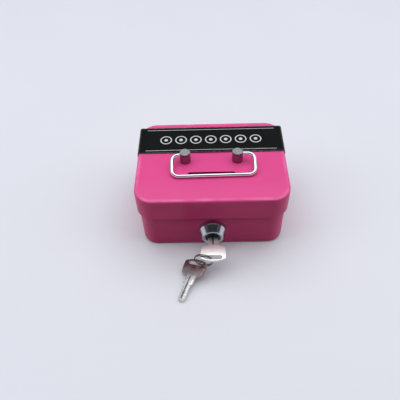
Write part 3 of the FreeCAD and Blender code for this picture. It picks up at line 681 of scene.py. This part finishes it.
def with_edges(faces):
    """Faces together with all their edges and points."""
    edges = {edge for face in faces for edge in face.edges}
    verts = {vert for face in faces for vert in face.verts}
    return [*faces, *edges, *verts]


def round_corner(bm, verts, setback, steps):
    """Rounds corners of an outline, starting this far from each one. Returns the new points."""
    return bmesh.ops.bevel(
        bm, geom=verts, offset=setback, offset_type="OFFSET", segments=steps, profile=0.5,
        affect="VERTICES", material=-1,
    )["verts"]


def round_edges(bm, edges, width, steps):
    """Rounds edges at a thousand times the size, because the bevel loses accuracy on tiny edges."""
    bmesh.ops.scale(bm, vec=(1 / MM, 1 / MM, 1 / MM), verts=bm.verts)
    bmesh.ops.bevel(
        bm, geom=edges, offset=width / MM, offset_type="OFFSET", segments=steps, profile=0.5,
        affect="EDGES", material=-1,
    )
    bmesh.ops.scale(bm, vec=(MM, MM, MM), verts=bm.verts)


def new_row(geometry):
    """Edges of freshly drawn geometry whose two ends are both new."""
    new = set(verts_of(geometry))
    return [edge for edge in edges_of(geometry) if new.issuperset(edge.verts)]


def wire_outline(bm, places, closed):
    """Points joined in order by edges. Returns the points."""
    verts = [bm.verts.new(place) for place in places]
    ends = verts[1:] + verts[:1] if closed else verts[1:]
    for first, second in zip(verts, ends):
        bm.edges.new((first, second))
    return verts


def spin_round(bm, geometry, turn, steps, centre=(0, 0, 0), axis=(0, 0, 1), rise=0.0, merge=False):
    """Turns geometry about an axis, rising evenly along Z. Returns what the last step made."""
    return bmesh.ops.spin(
        bm, geom=geometry, cent=centre, axis=axis, dvec=(0, 0, rise / steps), angle=turn, steps=steps,
        use_merge=merge, use_normal_flip=False, use_duplicate=False,
    )["geom_last"]


def rectangle(bm, width, depth, place):
    """A rectangle about a place. Returns its points."""
    made = bmesh.ops.create_grid(bm, x_segments=1, y_segments=1, size=0.5)["verts"]
    bmesh.ops.transform(bm, matrix=place @ Matrix.Diagonal((width, depth, 1, 1)), verts=made)
    return made


def rounded_face(bm, width, depth, corner, steps, z):
    """A level rectangle with rounded corners about the middle. Returns its face."""
    made = rectangle(bm, width, depth, Matrix.Translation((0, 0, z)))
    return round_corner(bm, made, corner, steps)[0].link_faces[0]


def arc(inset, z, radius, start, end, steps):
    """Points of (inset, z) on an arc about a centre; 0 points up and a quarter turn points outwards."""
    turns = [start + (end - start) * i / steps for i in range(steps + 1)]
    return [(inset - radius * math.sin(turn), z + radius * math.cos(turn)) for turn in turns]


def outward_at(place, half_x, half_y, corner):
    """Level outward direction of a rounded rectangle's edge at one of its corner points."""
    centre_x = max(-half_x + corner, min(half_x - corner, place.x))
    centre_y = max(-half_y + corner, min(half_y - corner, place.y))
    return Vector((place.x - centre_x, place.y - centre_y, 0)).normalized()


def loft_walls(bm, face, width, depth, corner, profile, bends):
    """Draws walls out from a rounded face through (inset, z) points. Returns the last loop's edges."""
    layer = bm.verts.layers.float.get("bend") or bm.verts.layers.float.new("bend")
    edges = list(face.edges)
    inset = profile[0][0]
    for row, (next_inset, z) in enumerate(profile[1:], 1):
        made = bmesh.ops.extrude_edge_only(bm, edges=edges)["geom"]
        for vert in verts_of(made):
            out = outward_at(vert.co, width / 2 - inset, depth / 2 - inset, corner - inset)
            vert.co += out * (inset - next_inset)
            vert.co.z = z
            vert[layer] = 1.0 if row in bends else 0.0
        edges = new_row(made)
        inset = next_inset
    return edges


def mesh_object(name, bm, material):
    """Turns a bmesh into an object of the scene."""
    mesh = bpy.data.meshes.new(name)
    bm.to_mesh(mesh)
    bm.free()
    mesh.materials.append(material)
    made = bpy.data.objects.new(name, mesh)
    bpy.context.scene.collection.objects.link(made)
    return made


def finish_piece(name, bm, material, body, replaced, sharp=40):
    """Turns a bmesh into a named piece that rides on its body and stands for a node."""
    bmesh.ops.remove_doubles(bm, verts=bm.verts, dist=MERGE)
    bmesh.ops.recalc_face_normals(bm, faces=bm.faces)
    piece = mesh_object(name, bm, material)
    piece.data.polygons.foreach_set("use_smooth", [True] * len(piece.data.polygons))
    piece.data.set_sharp_from_angle(angle=math.radians(sharp))
    even = piece.modifiers.new("even normals", "WEIGHTED_NORMAL")
    even.keep_sharp = True
    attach(piece, body)
    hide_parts(replaced)


def dress(material, *nodes):
    """Gives carried-over nodes their finish."""
    for name in nodes:
        for slot in frame["nodes"][name].material_slots:
            slot.material = material


def fill_with_hole(bm, outer, hole):
    """Fills the level space between an outline and a hole."""
    bmesh.ops.triangle_fill(bm, use_beauty=True, use_dissolve=False, edges=outer + hole, normal=(0, 0, 1))


class CASHBOX_OT_tub(Operator):
    """Press the tub: floor, walls and a folded rim"""

    bl_idname = "cashbox.tub"
    bl_label = "Tub"

    def execute(self, context):
        s = context.scene.cash_box_shell
        low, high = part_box("base_shell")
        width, depth = high.x - low.x, high.y - low.y
        sheet, bend = s.sheet, s.bend
        hem_low = high.z - s.hem
        bm = bmesh.new()
        floor = (width - 2 * bend, depth - 2 * bend, s.tub_corner - bend)
        face = rounded_face(bm, *floor, s.corner_steps, low.z)
        outer = arc(bend, low.z + bend, bend, math.pi, QUARTER, s.bend_steps)
        rim = arc(sheet, high.z - sheet, sheet, QUARTER, -QUARTER, s.rim_steps)
        hem_end = arc(1.5 * sheet, hem_low + sheet / 2, sheet / 2, -QUARTER, -math.pi, s.hem_steps)
        inner = arc(bend, low.z + bend, bend - sheet, QUARTER, math.pi, s.inner_steps)
        profile = outer + rim + hem_end + [(sheet, hem_low)] + inner
        bends = {*range(2, len(outer) - 1), *range(len(outer) + 1, len(outer) + len(rim) - 1)}
        edges = loft_walls(bm, face, width, depth, s.tub_corner, profile, bends)
        bmesh.ops.edgeloop_fill(bm, edges=edges)
        paint = shared_material("enamel_with_painted_shadow", tub_material, s)
        finish_piece("tub", bm, paint, "base", "base_shell")
        return {"FINISHED"}


class CASHBOX_OT_lid(Operator):
    """Press the lid: top with a coin slot, rounded bend and skirt"""

    bl_idname = "cashbox.lid"
    bl_label = "Lid"

    def coin_slot(self, bm, s, top):
        """Walls of the slot with rolled edges. Returns the edges of its upper and lower rim."""
        roll, steps = s.slot_edge, s.edge_steps
        mouth = (s.slot_length + 2 * roll, s.slot_width + 2 * roll, s.slot_width / 2 + roll - TOUCH)
        before = set(bm.verts)
        hole = rounded_face(bm, *mouth, s.corner_steps, top)
        upper = list(hole.edges)
        down = arc(0, top - roll, roll, 0, -QUARTER, steps)
        up = arc(0, top - s.sheet + roll, roll, -QUARTER, -math.pi, steps)
        lower = loft_walls(bm, hole, *mouth, down + up, ())
        bmesh.ops.delete(bm, geom=[hole], context="FACES_ONLY")
        bmesh.ops.translate(bm, vec=(0, s.slot_y, 0), verts=[v for v in bm.verts if v not in before])
        return upper, lower

    def execute(self, context):
        s = context.scene.cash_box_shell
        low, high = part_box("lid_shell")
        width, depth = high.x - low.x, high.y - low.y
        sheet, bend, edge = s.sheet, s.lid_bend, s.cut_edge
        inset = bend + s.thin_band
        bm = bmesh.new()
        top = (width - 2 * inset, depth - 2 * inset, s.lid_corner - inset)
        face = rounded_face(bm, *top, s.corner_steps, high.z)
        top_edges = list(face.edges)
        outer = [(inset, high.z)] + arc(bend, high.z - bend, bend, 0, QUARTER, s.bend_steps)
        cut = arc(edge, low.z + edge, edge, QUARTER, math.pi, s.edge_steps)
        cut += arc(sheet - edge, low.z + edge, edge, math.pi, 3 * QUARTER, s.edge_steps)
        inner = arc(bend, high.z - bend, bend - sheet, QUARTER, 0, s.inner_steps)
        profile = outer + cut + inner
        # Rows marked for paler paint: worn thin paint, and along the top of the bend and the cut edge a
        # painted highlight.
        bends = {*range(1, len(outer) // 2), *range(len(outer) + 1, len(outer) + len(cut) - 1)}
        under_edges = loft_walls(bm, face, width, depth, s.lid_corner, profile, bends)
        bmesh.ops.delete(bm, geom=[face], context="FACES_ONLY")
        slot_upper, slot_lower = self.coin_slot(bm, s, high.z)
        fill_with_hole(bm, top_edges, slot_upper)
        fill_with_hole(bm, under_edges, slot_lower)
        paint = shared_material("pink_enamel", paint_material, s)
        finish_piece("lid", bm, paint, "lid", "lid_shell")
        return {"FINISHED"}


class CASHBOX_OT_card_band(Operator):
    """Fold the card band over the back of the lid"""

    bl_idname = "cashbox.card_band"
    bl_label = "Card band"

    def lifted(self, side):
        """Share of the lift along the front edge; side runs from -1 at the left fold to 1 at the right."""
        mean, sway, flatness = 0.55, 0.45, 6
        even_wave, skew_wave, skew_start = 3.1, 1.7, 0.8
        wave = math.cos(even_wave * side) * math.cos(skew_start + skew_wave * side)
        return (mean + sway * wave) * max(0.0, 1 - side**flatness)

    def warp(self, bm, s, low, high, fold):
        """Lifts the front edge off the lid and marks the cut edges and folds for wear, and the cut edges also
        for a painted highlight.
        """
        cut_wear_and_highlight, fold_wear = 1.0, 0.45
        cut_reach, fold_reach, fold_top = s.card / 10, fold / 3, 0.3
        layer = bm.verts.layers.float.new("bend")
        half = (high.x - low.x) / 2
        for vert in bm.verts:
            x, y = vert.co.x, vert.co.y
            on_top = max(0.0, 1 - max(0.0, high.z - s.card - vert.co.z) / fold)
            near_front = max(0.0, 1 - (y - low.y) / s.lift_reach) ** 2
            vert.co.z += s.lift * near_front * on_top * self.lifted(x / half)
            at_edge = min(y - low.y, high.y - y, vert.co.z - low.z) < cut_reach
            at_fold = abs(abs(x) - (half - fold_reach)) < fold_reach and on_top > fold_top
            vert[layer] = cut_wear_and_highlight if at_edge else fold_wear if at_fold else 0.0

    def execute(self, context):
        s = context.scene.cash_box_card
        fold = context.scene.cash_box_shell.lid_bend + s.card
        low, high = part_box("label_band")
        corners = [(low.x, low.z), (low.x, high.z), (high.x, high.z), (high.x, low.z)]
        bm = bmesh.new()
        verts = wire_outline(bm, [(x, low.y, z) for x, z in corners], closed=False)
        round_corner(bm, verts[1:3], fold, s.fold_steps)
        for run, cuts in ((high.x - low.x - 2 * fold, s.top_cuts), (high.z - low.z - fold, s.flap_cuts)):
            straight = [e for e in bm.edges if abs(e.calc_length() - run) < fold / 10]
            bmesh.ops.subdivide_edges(bm, edges=straight, cuts=cuts)
        edges = list(bm.edges)
        for _ in range(s.rows):
            made = bmesh.ops.extrude_edge_only(bm, edges=edges)["geom"]
            bmesh.ops.translate(bm, vec=(0, (high.y - low.y) / s.rows, 0), verts=verts_of(made))
            edges = new_row(made)
        bmesh.ops.recalc_face_normals(bm, faces=bm.faces)
        bmesh.ops.solidify(bm, geom=list(bm.faces), thickness=s.card)
        self.warp(bm, s, low, high, fold)
        card = shared_material("printed_card", card_material, s)
        finish_piece("card_band", bm, card, "lid", "label_band")
        return {"FINISHED"}


class CASHBOX_OT_handle(Operator):
    """Bend the wire bail and plate it and its posts"""

    bl_idname = "cashbox.handle"
    bl_label = "Handle"

    def run_straight(self, bm, face, run):
        made = bmesh.ops.extrude_face_region(bm, geom=with_edges([face]))["geom"]
        bmesh.ops.translate(bm, vec=run, verts=verts_of(made))
        return faces_of(made)[0]

    def execute(self, context):
        s = context.scene.cash_box_handle
        pivot = Vector(JOINTS["handle_swing"]["pos_m"])
        lid_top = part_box("lid_shell")[1].z
        post_radius = extent("left_handle_post").x / 2
        start_x = POST_SPACING / 2 + post_radius - s.end_depth
        right, near, far = s.width / 2 - s.corner, -s.corner, -s.reach + s.corner
        in_run, arm_run = right - start_x, near - far
        bm = bmesh.new()
        disc = bmesh.ops.create_circle(bm, cap_ends=True, segments=s.wire_sides, radius=s.wire / 2)["verts"]
        start = Matrix.Translation((-start_x, 0, 0)) @ Matrix.Rotation(-QUARTER, 4, "Y")
        bmesh.ops.transform(bm, matrix=start, verts=disc)
        face = disc[0].link_faces[0]
        runs = (
            ((-in_run, 0, 0), (-right, near, 0)), ((0, -arm_run, 0), (-right, far, 0)),
            ((2 * right, 0, 0), (right, far, 0)), ((0, arm_run, 0), (right, near, 0)),
        )
        for run, centre in runs:
            face = self.run_straight(bm, face, run)
            face = faces_of(spin_round(bm, with_edges([face]), QUARTER, s.bend_steps, centre))[0]
        self.run_straight(bm, face, (-in_run, 0, 0))
        drop = math.asin((pivot.z - lid_top - s.wire / 2 - s.rest_gap) / s.reach)
        lay = Matrix.Translation((s.shift, pivot.y, pivot.z)) @ Matrix.Rotation(s.skew, 4, "Z")
        bmesh.ops.transform(bm, matrix=lay @ Matrix.Rotation(drop, 4, "X"), verts=bm.verts)
        finish_piece("bail", bm, metal("polished_chrome"), "handle", "handle_bail")
        dress(shared_material("post_chrome_painted_reflection", post_material), "left_handle_post", "right_handle_post")
        dress(metal("zinc_plate"), "post_washers", "post_screws")
        return {"FINISHED"}


class CASHBOX_OT_hinges(Operator):
    """Plate the hinge leaves, pins, rivets and the lid's catch"""

    bl_idname = "cashbox.hinges"
    bl_label = "Hinges and catch"

    def execute(self, context):
        zinc = metal("zinc_plate")
        for side in ("left", "right"):
            dress(zinc, side + "_hinge_base_leaf", side + "_hinge_lid_leaf", side + "_hinge_pin")
        dress(zinc, "base_hinge_rivets", "lid_hinge_rivets", "lid_catch")
        return {"FINISHED"}


class CASHBOX_OT_lock(Operator):
    """Turn the lock's bezel and threaded barrel, and finish what is inside it"""

    bl_idname = "cashbox.lock"
    bl_label = "Lock"

    def thread_outline(self, s, end):
        """Roots and crests of the barrel's thread, from its end back to the wall."""
        crest_start, crest_end = 0.4 * s.thread_pitch, 0.6 * s.thread_pitch
        plain_end = WALL_Y + 1.5 * s.thread_pitch
        points = [(s.barrel_radius, end)]
        root = end - s.thread_pitch / 2
        while root > plain_end:
            points += [(s.barrel_radius, root)]
            points += [(s.thread_radius, root - crest_start), (s.thread_radius, root - crest_end)]
            root -= s.thread_pitch
        return points + [(s.barrel_radius, root)]

    def shape_barrel(self, bm, s, groove_start, groove_end):
        """Planes the barrel's two flats and sinks the four wafer grooves into the bore."""
        for vert in bm.verts:
            across, up = vert.co.x, vert.co.z - LOCK_Z
            if vert.co.y > WALL_Y + TOUCH:
                vert.co.x = max(-s.flat, min(s.flat, across))
            on_bore = math.hypot(across, up) < s.bore_radius + TOUCH
            if on_bore and groove_start - TOUCH < vert.co.y < groove_end + TOUCH:
                if abs(up) < s.groove_half:
                    vert.co.x = math.copysign(s.groove_reach, across)
                elif abs(across) < s.groove_half:
                    vert.co.z = LOCK_Z + math.copysign(s.groove_reach, up)

    def execute(self, context):
        s = context.scene.cash_box_lock
        front, end = WALL_Y - s.bezel_length, WALL_Y + s.barrel_length
        seat = front + s.recess_depth
        bore_start = seat + s.seat_depth
        first_wafer, last_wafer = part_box("lock_wafers")
        groove_start, groove_end = first_wafer.y - s.groove_gap, last_wafer.y + s.groove_gap
        steep = 2 * TOUCH
        outline = [
            (s.barrel_radius, WALL_Y), (s.base_radius, WALL_Y), (s.base_radius, WALL_Y - s.rim),
            (s.front_radius, front), (s.recess_radius, front), (s.recess_radius, seat), (s.seat_radius, seat),
            (s.seat_radius, bore_start), (s.bore_radius, bore_start),
        ]
        stops = (groove_start - steep, groove_start, groove_end, groove_end + steep, end)
        outline += [(s.bore_radius, y) for y in stops] + self.thread_outline(s, end)
        bm = bmesh.new()
        verts = wire_outline(bm, [(radius, y, LOCK_Z) for radius, y in outline], closed=True)
        round_corner(bm, verts[2:4], s.edge, s.edge_steps)
        round_corner(bm, verts[4:5], s.edge / 2, s.edge_steps - 1)
        drawn = [*bm.verts, *bm.edges]
        spin_round(bm, drawn, FULL_TURN, s.turn_steps, (0, 0, LOCK_Z), axis=(0, 1, 0), merge=True)
        self.shape_barrel(bm, s, groove_start, groove_end)
        chrome = metal("cast_chrome")
        finish_piece("lock_bezel", bm, chrome, "base", "lock_housing", sharp=35)
        dress(metal("zinc_plate"), "lock_washer", "lock_nut", "lock_cam", "cam_washer", "cam_screw")
        dress(shared_material("turned_metal_painted_shade", plug_material), "lock_plug")
        dress(metal("stamped_brass"), "lock_wafers")
        return {"FINISHED"}


class CASHBOX_OT_keys(Operator):
    """Cut the two keys, one in the lock and one hanging from the ring"""

    bl_idname = "cashbox.keys"
    bl_label = "Keys"

    def outline(self, s):
        """Corners of the right half as (distance from the tip, half width, rounding)."""
        shoulder = s.blade_length
        neck = shoulder + s.neck_length
        near = neck + s.flare_length
        widest = near + s.flank_length
        far = widest + s.side_length
        half = [
            (0, s.tip_width / 2, s.tip_round), (s.tip_taper, s.blade_width / 2, s.tip_taper),
            (shoulder, s.blade_width / 2, 0), (shoulder, s.shoulder_width / 2, s.edge),
            (neck, s.neck_width / 2, s.neck_round), (near, s.near_width / 2, s.near_round),
            (widest, s.bow_width / 2, s.flank_length), (far, s.bow_width / 2, s.far_round),
        ]
        return half, neck, far

    def setbacks(self, points, verts):
        """How far from each corner its rounding starts, shortened where two would meet."""
        free_run = 0.96
        found = []
        for i, (_, _, radius) in enumerate(points):
            back = verts[i - 1].co - verts[i].co
            ahead = verts[(i + 1) % len(verts)].co - verts[i].co
            found.append(radius / math.tan(back.angle(ahead) / 2))
        for i, vert in enumerate(verts):
            run = (vert.co - verts[i - 1].co).length * free_run
            wanted = found[i] + found[i - 1]
            if wanted > run:
                found[i] *= run / wanted
                found[i - 1] *= run / wanted
        return found

    def key_mesh(self, s):
        """A key along X with its tip at the origin."""
        half, neck, far = self.outline(s)
        points = [(u, -v, r) for u, v, r in half] + [(far + s.crown, 0, s.crown_round)] + half[::-1]
        bm = bmesh.new()
        verts = [bm.verts.new((u, v, s.thickness / 2)) for u, v, _ in points]
        bm.faces.new(verts)
        for vert, setback in zip(verts, self.setbacks(points, verts)):
            if setback > 0:
                round_corner(bm, [vert], setback, s.corner_steps)
        outer = list(bm.edges)
        bmesh.ops.delete(bm, geom=list(bm.faces), context="FACES_ONLY")
        slot_corner = 0.49 * s.slot_width
        hole = rounded_face(bm, s.slot_width, s.slot_length, slot_corner, s.slot_steps, s.thickness / 2)
        bmesh.ops.translate(bm, vec=(far - s.slot_setback, 0, 0), verts=hole.verts)
        hole_edges = list(hole.edges)
        bmesh.ops.delete(bm, geom=[hole], context="FACES_ONLY")
        fill_with_hole(bm, outer, hole_edges)
        made = bmesh.ops.extrude_face_region(bm, geom=list(bm.faces))["geom"]
        bmesh.ops.translate(bm, vec=(0, 0, -s.thickness), verts=verts_of(made))
        bmesh.ops.recalc_face_normals(bm, faces=bm.faces)
        fold = math.radians(60)
        sharp = [e for e in bm.edges if len(e.link_faces) == 2 and e.calc_face_angle() > fold]
        level = [e for e in sharp if abs(e.verts[0].co.z - e.verts[1].co.z) < s.thickness / 4]
        round_edges(bm, level, s.edge, s.edge_steps)
        self.mill_groove(bm, s, neck)
        layer = bm.verts.layers.float.new("from_tip")
        for vert in bm.verts:
            vert[layer] = vert.co.x
        return bm

    def mill_groove(self, bm, s, neck):
        """Sinks a groove into both flat faces of the blade and marks its floor."""
        half, flat = s.groove_width / 2, 0.99
        sides = [((0, v, 0), (0, 1, 0)) for v in (half, -half)]
        ends = [((u, 0, 0), (1, 0, 0)) for u in (s.groove_start, neck)]
        for place, normal in sides + ends:
            level = with_edges([f for f in bm.faces if abs(f.normal.z) > flat])
            bmesh.ops.bisect_plane(bm, geom=level, dist=TOUCH / 10, plane_co=place, plane_no=normal)
        layer = bm.verts.layers.float.new("groove")
        for side in (1, -1):
            strip = []
            for face in bm.faces:
                centre = face.calc_center_median()
                within = abs(centre.y) < half and s.groove_start < centre.x < neck
                if within and face.normal.z * side > flat:
                    strip.append(face)
            floor = verts_of(bmesh.ops.extrude_face_region(bm, geom=with_edges(strip))["geom"])
            bmesh.ops.translate(bm, vec=(0, 0, -side * s.groove_depth), verts=floor)
            for vert in floor:
                vert[layer] = 1.0

    def execute(self, context):
        s = context.scene.cash_box_keys
        satin = shared_material("satin_nickel", key_material, "satin_nickel")
        painted_bow = shared_material("nickel_with_painted_bow", bow_reflection_material, s)
        in_lock = Matrix.Rotation(-QUARTER, 4, "Z")
        hanging = Matrix.Rotation(QUARTER - s.spare_yaw, 4, "Z") @ Matrix.Rotation(-s.spare_pitch, 4, "Y")
        hanging = hanging @ Matrix.Rotation(math.pi - s.spare_roll, 4, "X")
        keys = (
            ("key_in_lock", "lock_key", "key", in_lock, satin),
            ("hanging_key", "spare_key", "spare", hanging, painted_bow),
        )
        for name, replaced, body, turn, finish in keys:
            bm = self.key_mesh(s)
            bmesh.ops.transform(bm, matrix=turn, verts=bm.verts)
            low = Vector([min(v.co[i] for v in bm.verts) for i in range(3)])
            high = Vector([max(v.co[i] for v in bm.verts) for i in range(3)])
            bmesh.ops.translate(bm, vec=middle(replaced) - (low + high) / 2, verts=bm.verts)
            finish_piece(name, bm, finish, body, replaced, sharp=32)
        return {"FINISHED"}


class CASHBOX_OT_key_ring(Operator):
    """Wind the split ring"""

    bl_idname = "cashbox.key_ring"
    bl_label = "Key ring"

    def execute(self, context):
        s = context.scene.cash_box_ring
        bm = bmesh.new()
        start = Matrix.Translation((s.radius, 0, -s.turn_gap / 2)) @ Matrix.Rotation(QUARTER, 4, "X")
        made = rectangle(bm, s.radial, s.axial, start)
        face = round_corner(bm, made, s.edge, s.edge_steps)[0].link_faces[0]
        level = (FULL_TURN - s.step_turn - s.end_gap, s.turn_steps, 0.0)
        crossing = (s.step_turn, s.cross_steps, s.turn_gap)
        for turn, steps, rise in (level, crossing, level):
            face = faces_of(spin_round(bm, with_edges([face]), turn, steps, rise=rise))[0]
        lay = Vector(JOINTS["ring_turn"]["axis"]).to_track_quat("Z", "Y").to_matrix().to_4x4()
        bmesh.ops.transform(bm, matrix=Matrix.Translation(middle("key_ring")) @ lay, verts=bm.verts)
        finish_piece("split_ring", bm, metal("spring_steel"), "ring", "key_ring")
        return {"FINISHED"}


class CASHBOX_OT_stage(Operator):
    """Lay the floor, hang the lamps and the dark sheet, and set the camera"""

    bl_idname = "cashbox.stage"
    bl_label = "Stage"

    def plain_sheet(self, name, width, depth, place, material):
        bm = bmesh.new()
        rectangle(bm, width, depth, Matrix.Translation(place))
        return mesh_object(name, bm, material)

    def area_lamp(self, scene, name, width, height, power, place):
        lamp = bpy.data.lights.new(name, "AREA")
        lamp.shape = "RECTANGLE"
        lamp.size = width
        lamp.size_y = height
        lamp.energy = power
        made = bpy.data.objects.new(name, lamp)
        made.location = place
        scene.collection.objects.link(made)
        return made

    def hang_flag(self, s):
        """A dark sheet over the front that only shows in polished metal."""
        material, _, _ = new_material("flag", Base_Color=rgba(s.flag_colour), Roughness=0.9)
        flag = self.plain_sheet("flag", s.flag_width, s.flag_depth, s.flag_place, material)
        flag.visible_camera = False
        flag.visible_diffuse = False
        flag.visible_shadow = False

    def studio_world(self, s):
        """Light from all round, stronger from behind the box, and a pale horizon where it shows directly."""
        world = bpy.data.worlds.new("studio")
        world.use_nodes = True
        tree = world.node_tree
        generated = node(tree, "ShaderNodeTexCoord").outputs["Generated"]
        direction = node(tree, "ShaderNodeSeparateXYZ", {0: generated}).outputs
        strength = remap(tree, direction["Y"], s.back_start, s.back_end, s.sky_front, s.sky_back)
        low = remap(tree, direction["Z"], s.horizon_low, s.horizon_high, 1.0, 0.0)
        shown = math_node(tree, "MULTIPLY", shown_ray(tree), low)
        seen = blend_colours(tree, shown, rgba(s.sky), rgba(s.floor_colour))
        brightness = math_node(tree, "MAXIMUM", strength, shown)
        wire_up(tree, tree.nodes["Background"], Color=seen, Strength=brightness)
        return world

    def set_camera(self, s, scene):
        lens = bpy.data.cameras.new("camera")
        lens.lens = s.lens
        camera = bpy.data.objects.new("camera", lens)
        pitch = Matrix.Rotation(QUARTER - s.camera_pitch, 4, "X")
        turn = Matrix.Rotation(s.camera_yaw, 4, "Z") @ pitch @ Matrix.Rotation(s.camera_roll, 4, "Z")
        camera.matrix_world = Matrix.Translation(s.camera_place) @ turn
        scene.collection.objects.link(camera)
        scene.camera = camera

    def execute(self, context):
        s, scene = context.scene.cash_box_stage, context.scene
        scene.view_settings.view_transform = "Standard"
        material = shared_material("pale_floor", floor_material, s)
        floor = self.plain_sheet("floor", s.floor_size, s.floor_size, (0, 0, 0), material)
        self.area_lamp(scene, "softbox", s.softbox_width, s.softbox_depth, s.softbox_power, s.softbox_place)
        for side in (-1, 1):
            place = Vector(s.card_place) * Vector((side, 1, 1))
            card = self.area_lamp(scene, "side_card", s.card_width, s.card_height, s.card_power, place)
            card.rotation_euler = (-place).to_track_quat("-Z", "Z").to_euler()
            card.visible_glossy = False
        self.hang_flag(s)
        scene.world = self.studio_world(s)
        self.set_camera(s, scene)
        return {"FINISHED"}


class CASHBOX_PT_panel(Panel):
    """Buttons that make the cash box piece by piece"""

    bl_idname = "CASHBOX_PT_panel"
    bl_label = "Cash box"
    bl_space_type = "VIEW_3D"
    bl_region_type = "UI"
    bl_category = "Cash box"

    def draw(self, context):
        for operator in OPERATORS:
            self.layout.operator(operator.bl_idname)


SETTINGS = {
    "cash_box_shell": ShellSettings,
    "cash_box_card": CardSettings,
    "cash_box_handle": HandleSettings,
    "cash_box_lock": LockSettings,
    "cash_box_keys": KeySettings,
    "cash_box_ring": RingSettings,
    "cash_box_stage": StageSettings,
}
OPERATORS = (
    CASHBOX_OT_tub, CASHBOX_OT_lid, CASHBOX_OT_card_band, CASHBOX_OT_handle, CASHBOX_OT_hinges,
    CASHBOX_OT_lock, CASHBOX_OT_keys, CASHBOX_OT_key_ring, CASHBOX_OT_stage,
)


def register():
    for name, group in SETTINGS.items():
        bpy.utils.register_class(group)
        setattr(bpy.types.Scene, name, PointerProperty(type=group))
    for operator in (*OPERATORS, CASHBOX_PT_panel):
        bpy.utils.register_class(operator)


def unregister():
    for operator in (CASHBOX_PT_panel, *reversed(OPERATORS)):
        bpy.utils.unregister_class(operator)
    for name, group in SETTINGS.items():
        delattr(bpy.types.Scene, name)
        bpy.utils.unregister_class(group)


def main():
    register()
    for operator in OPERATORS:
        family, action = operator.bl_idname.split(".")
        getattr(getattr(bpy.ops, family), action)()


if __name__ == "__main__":
    main()
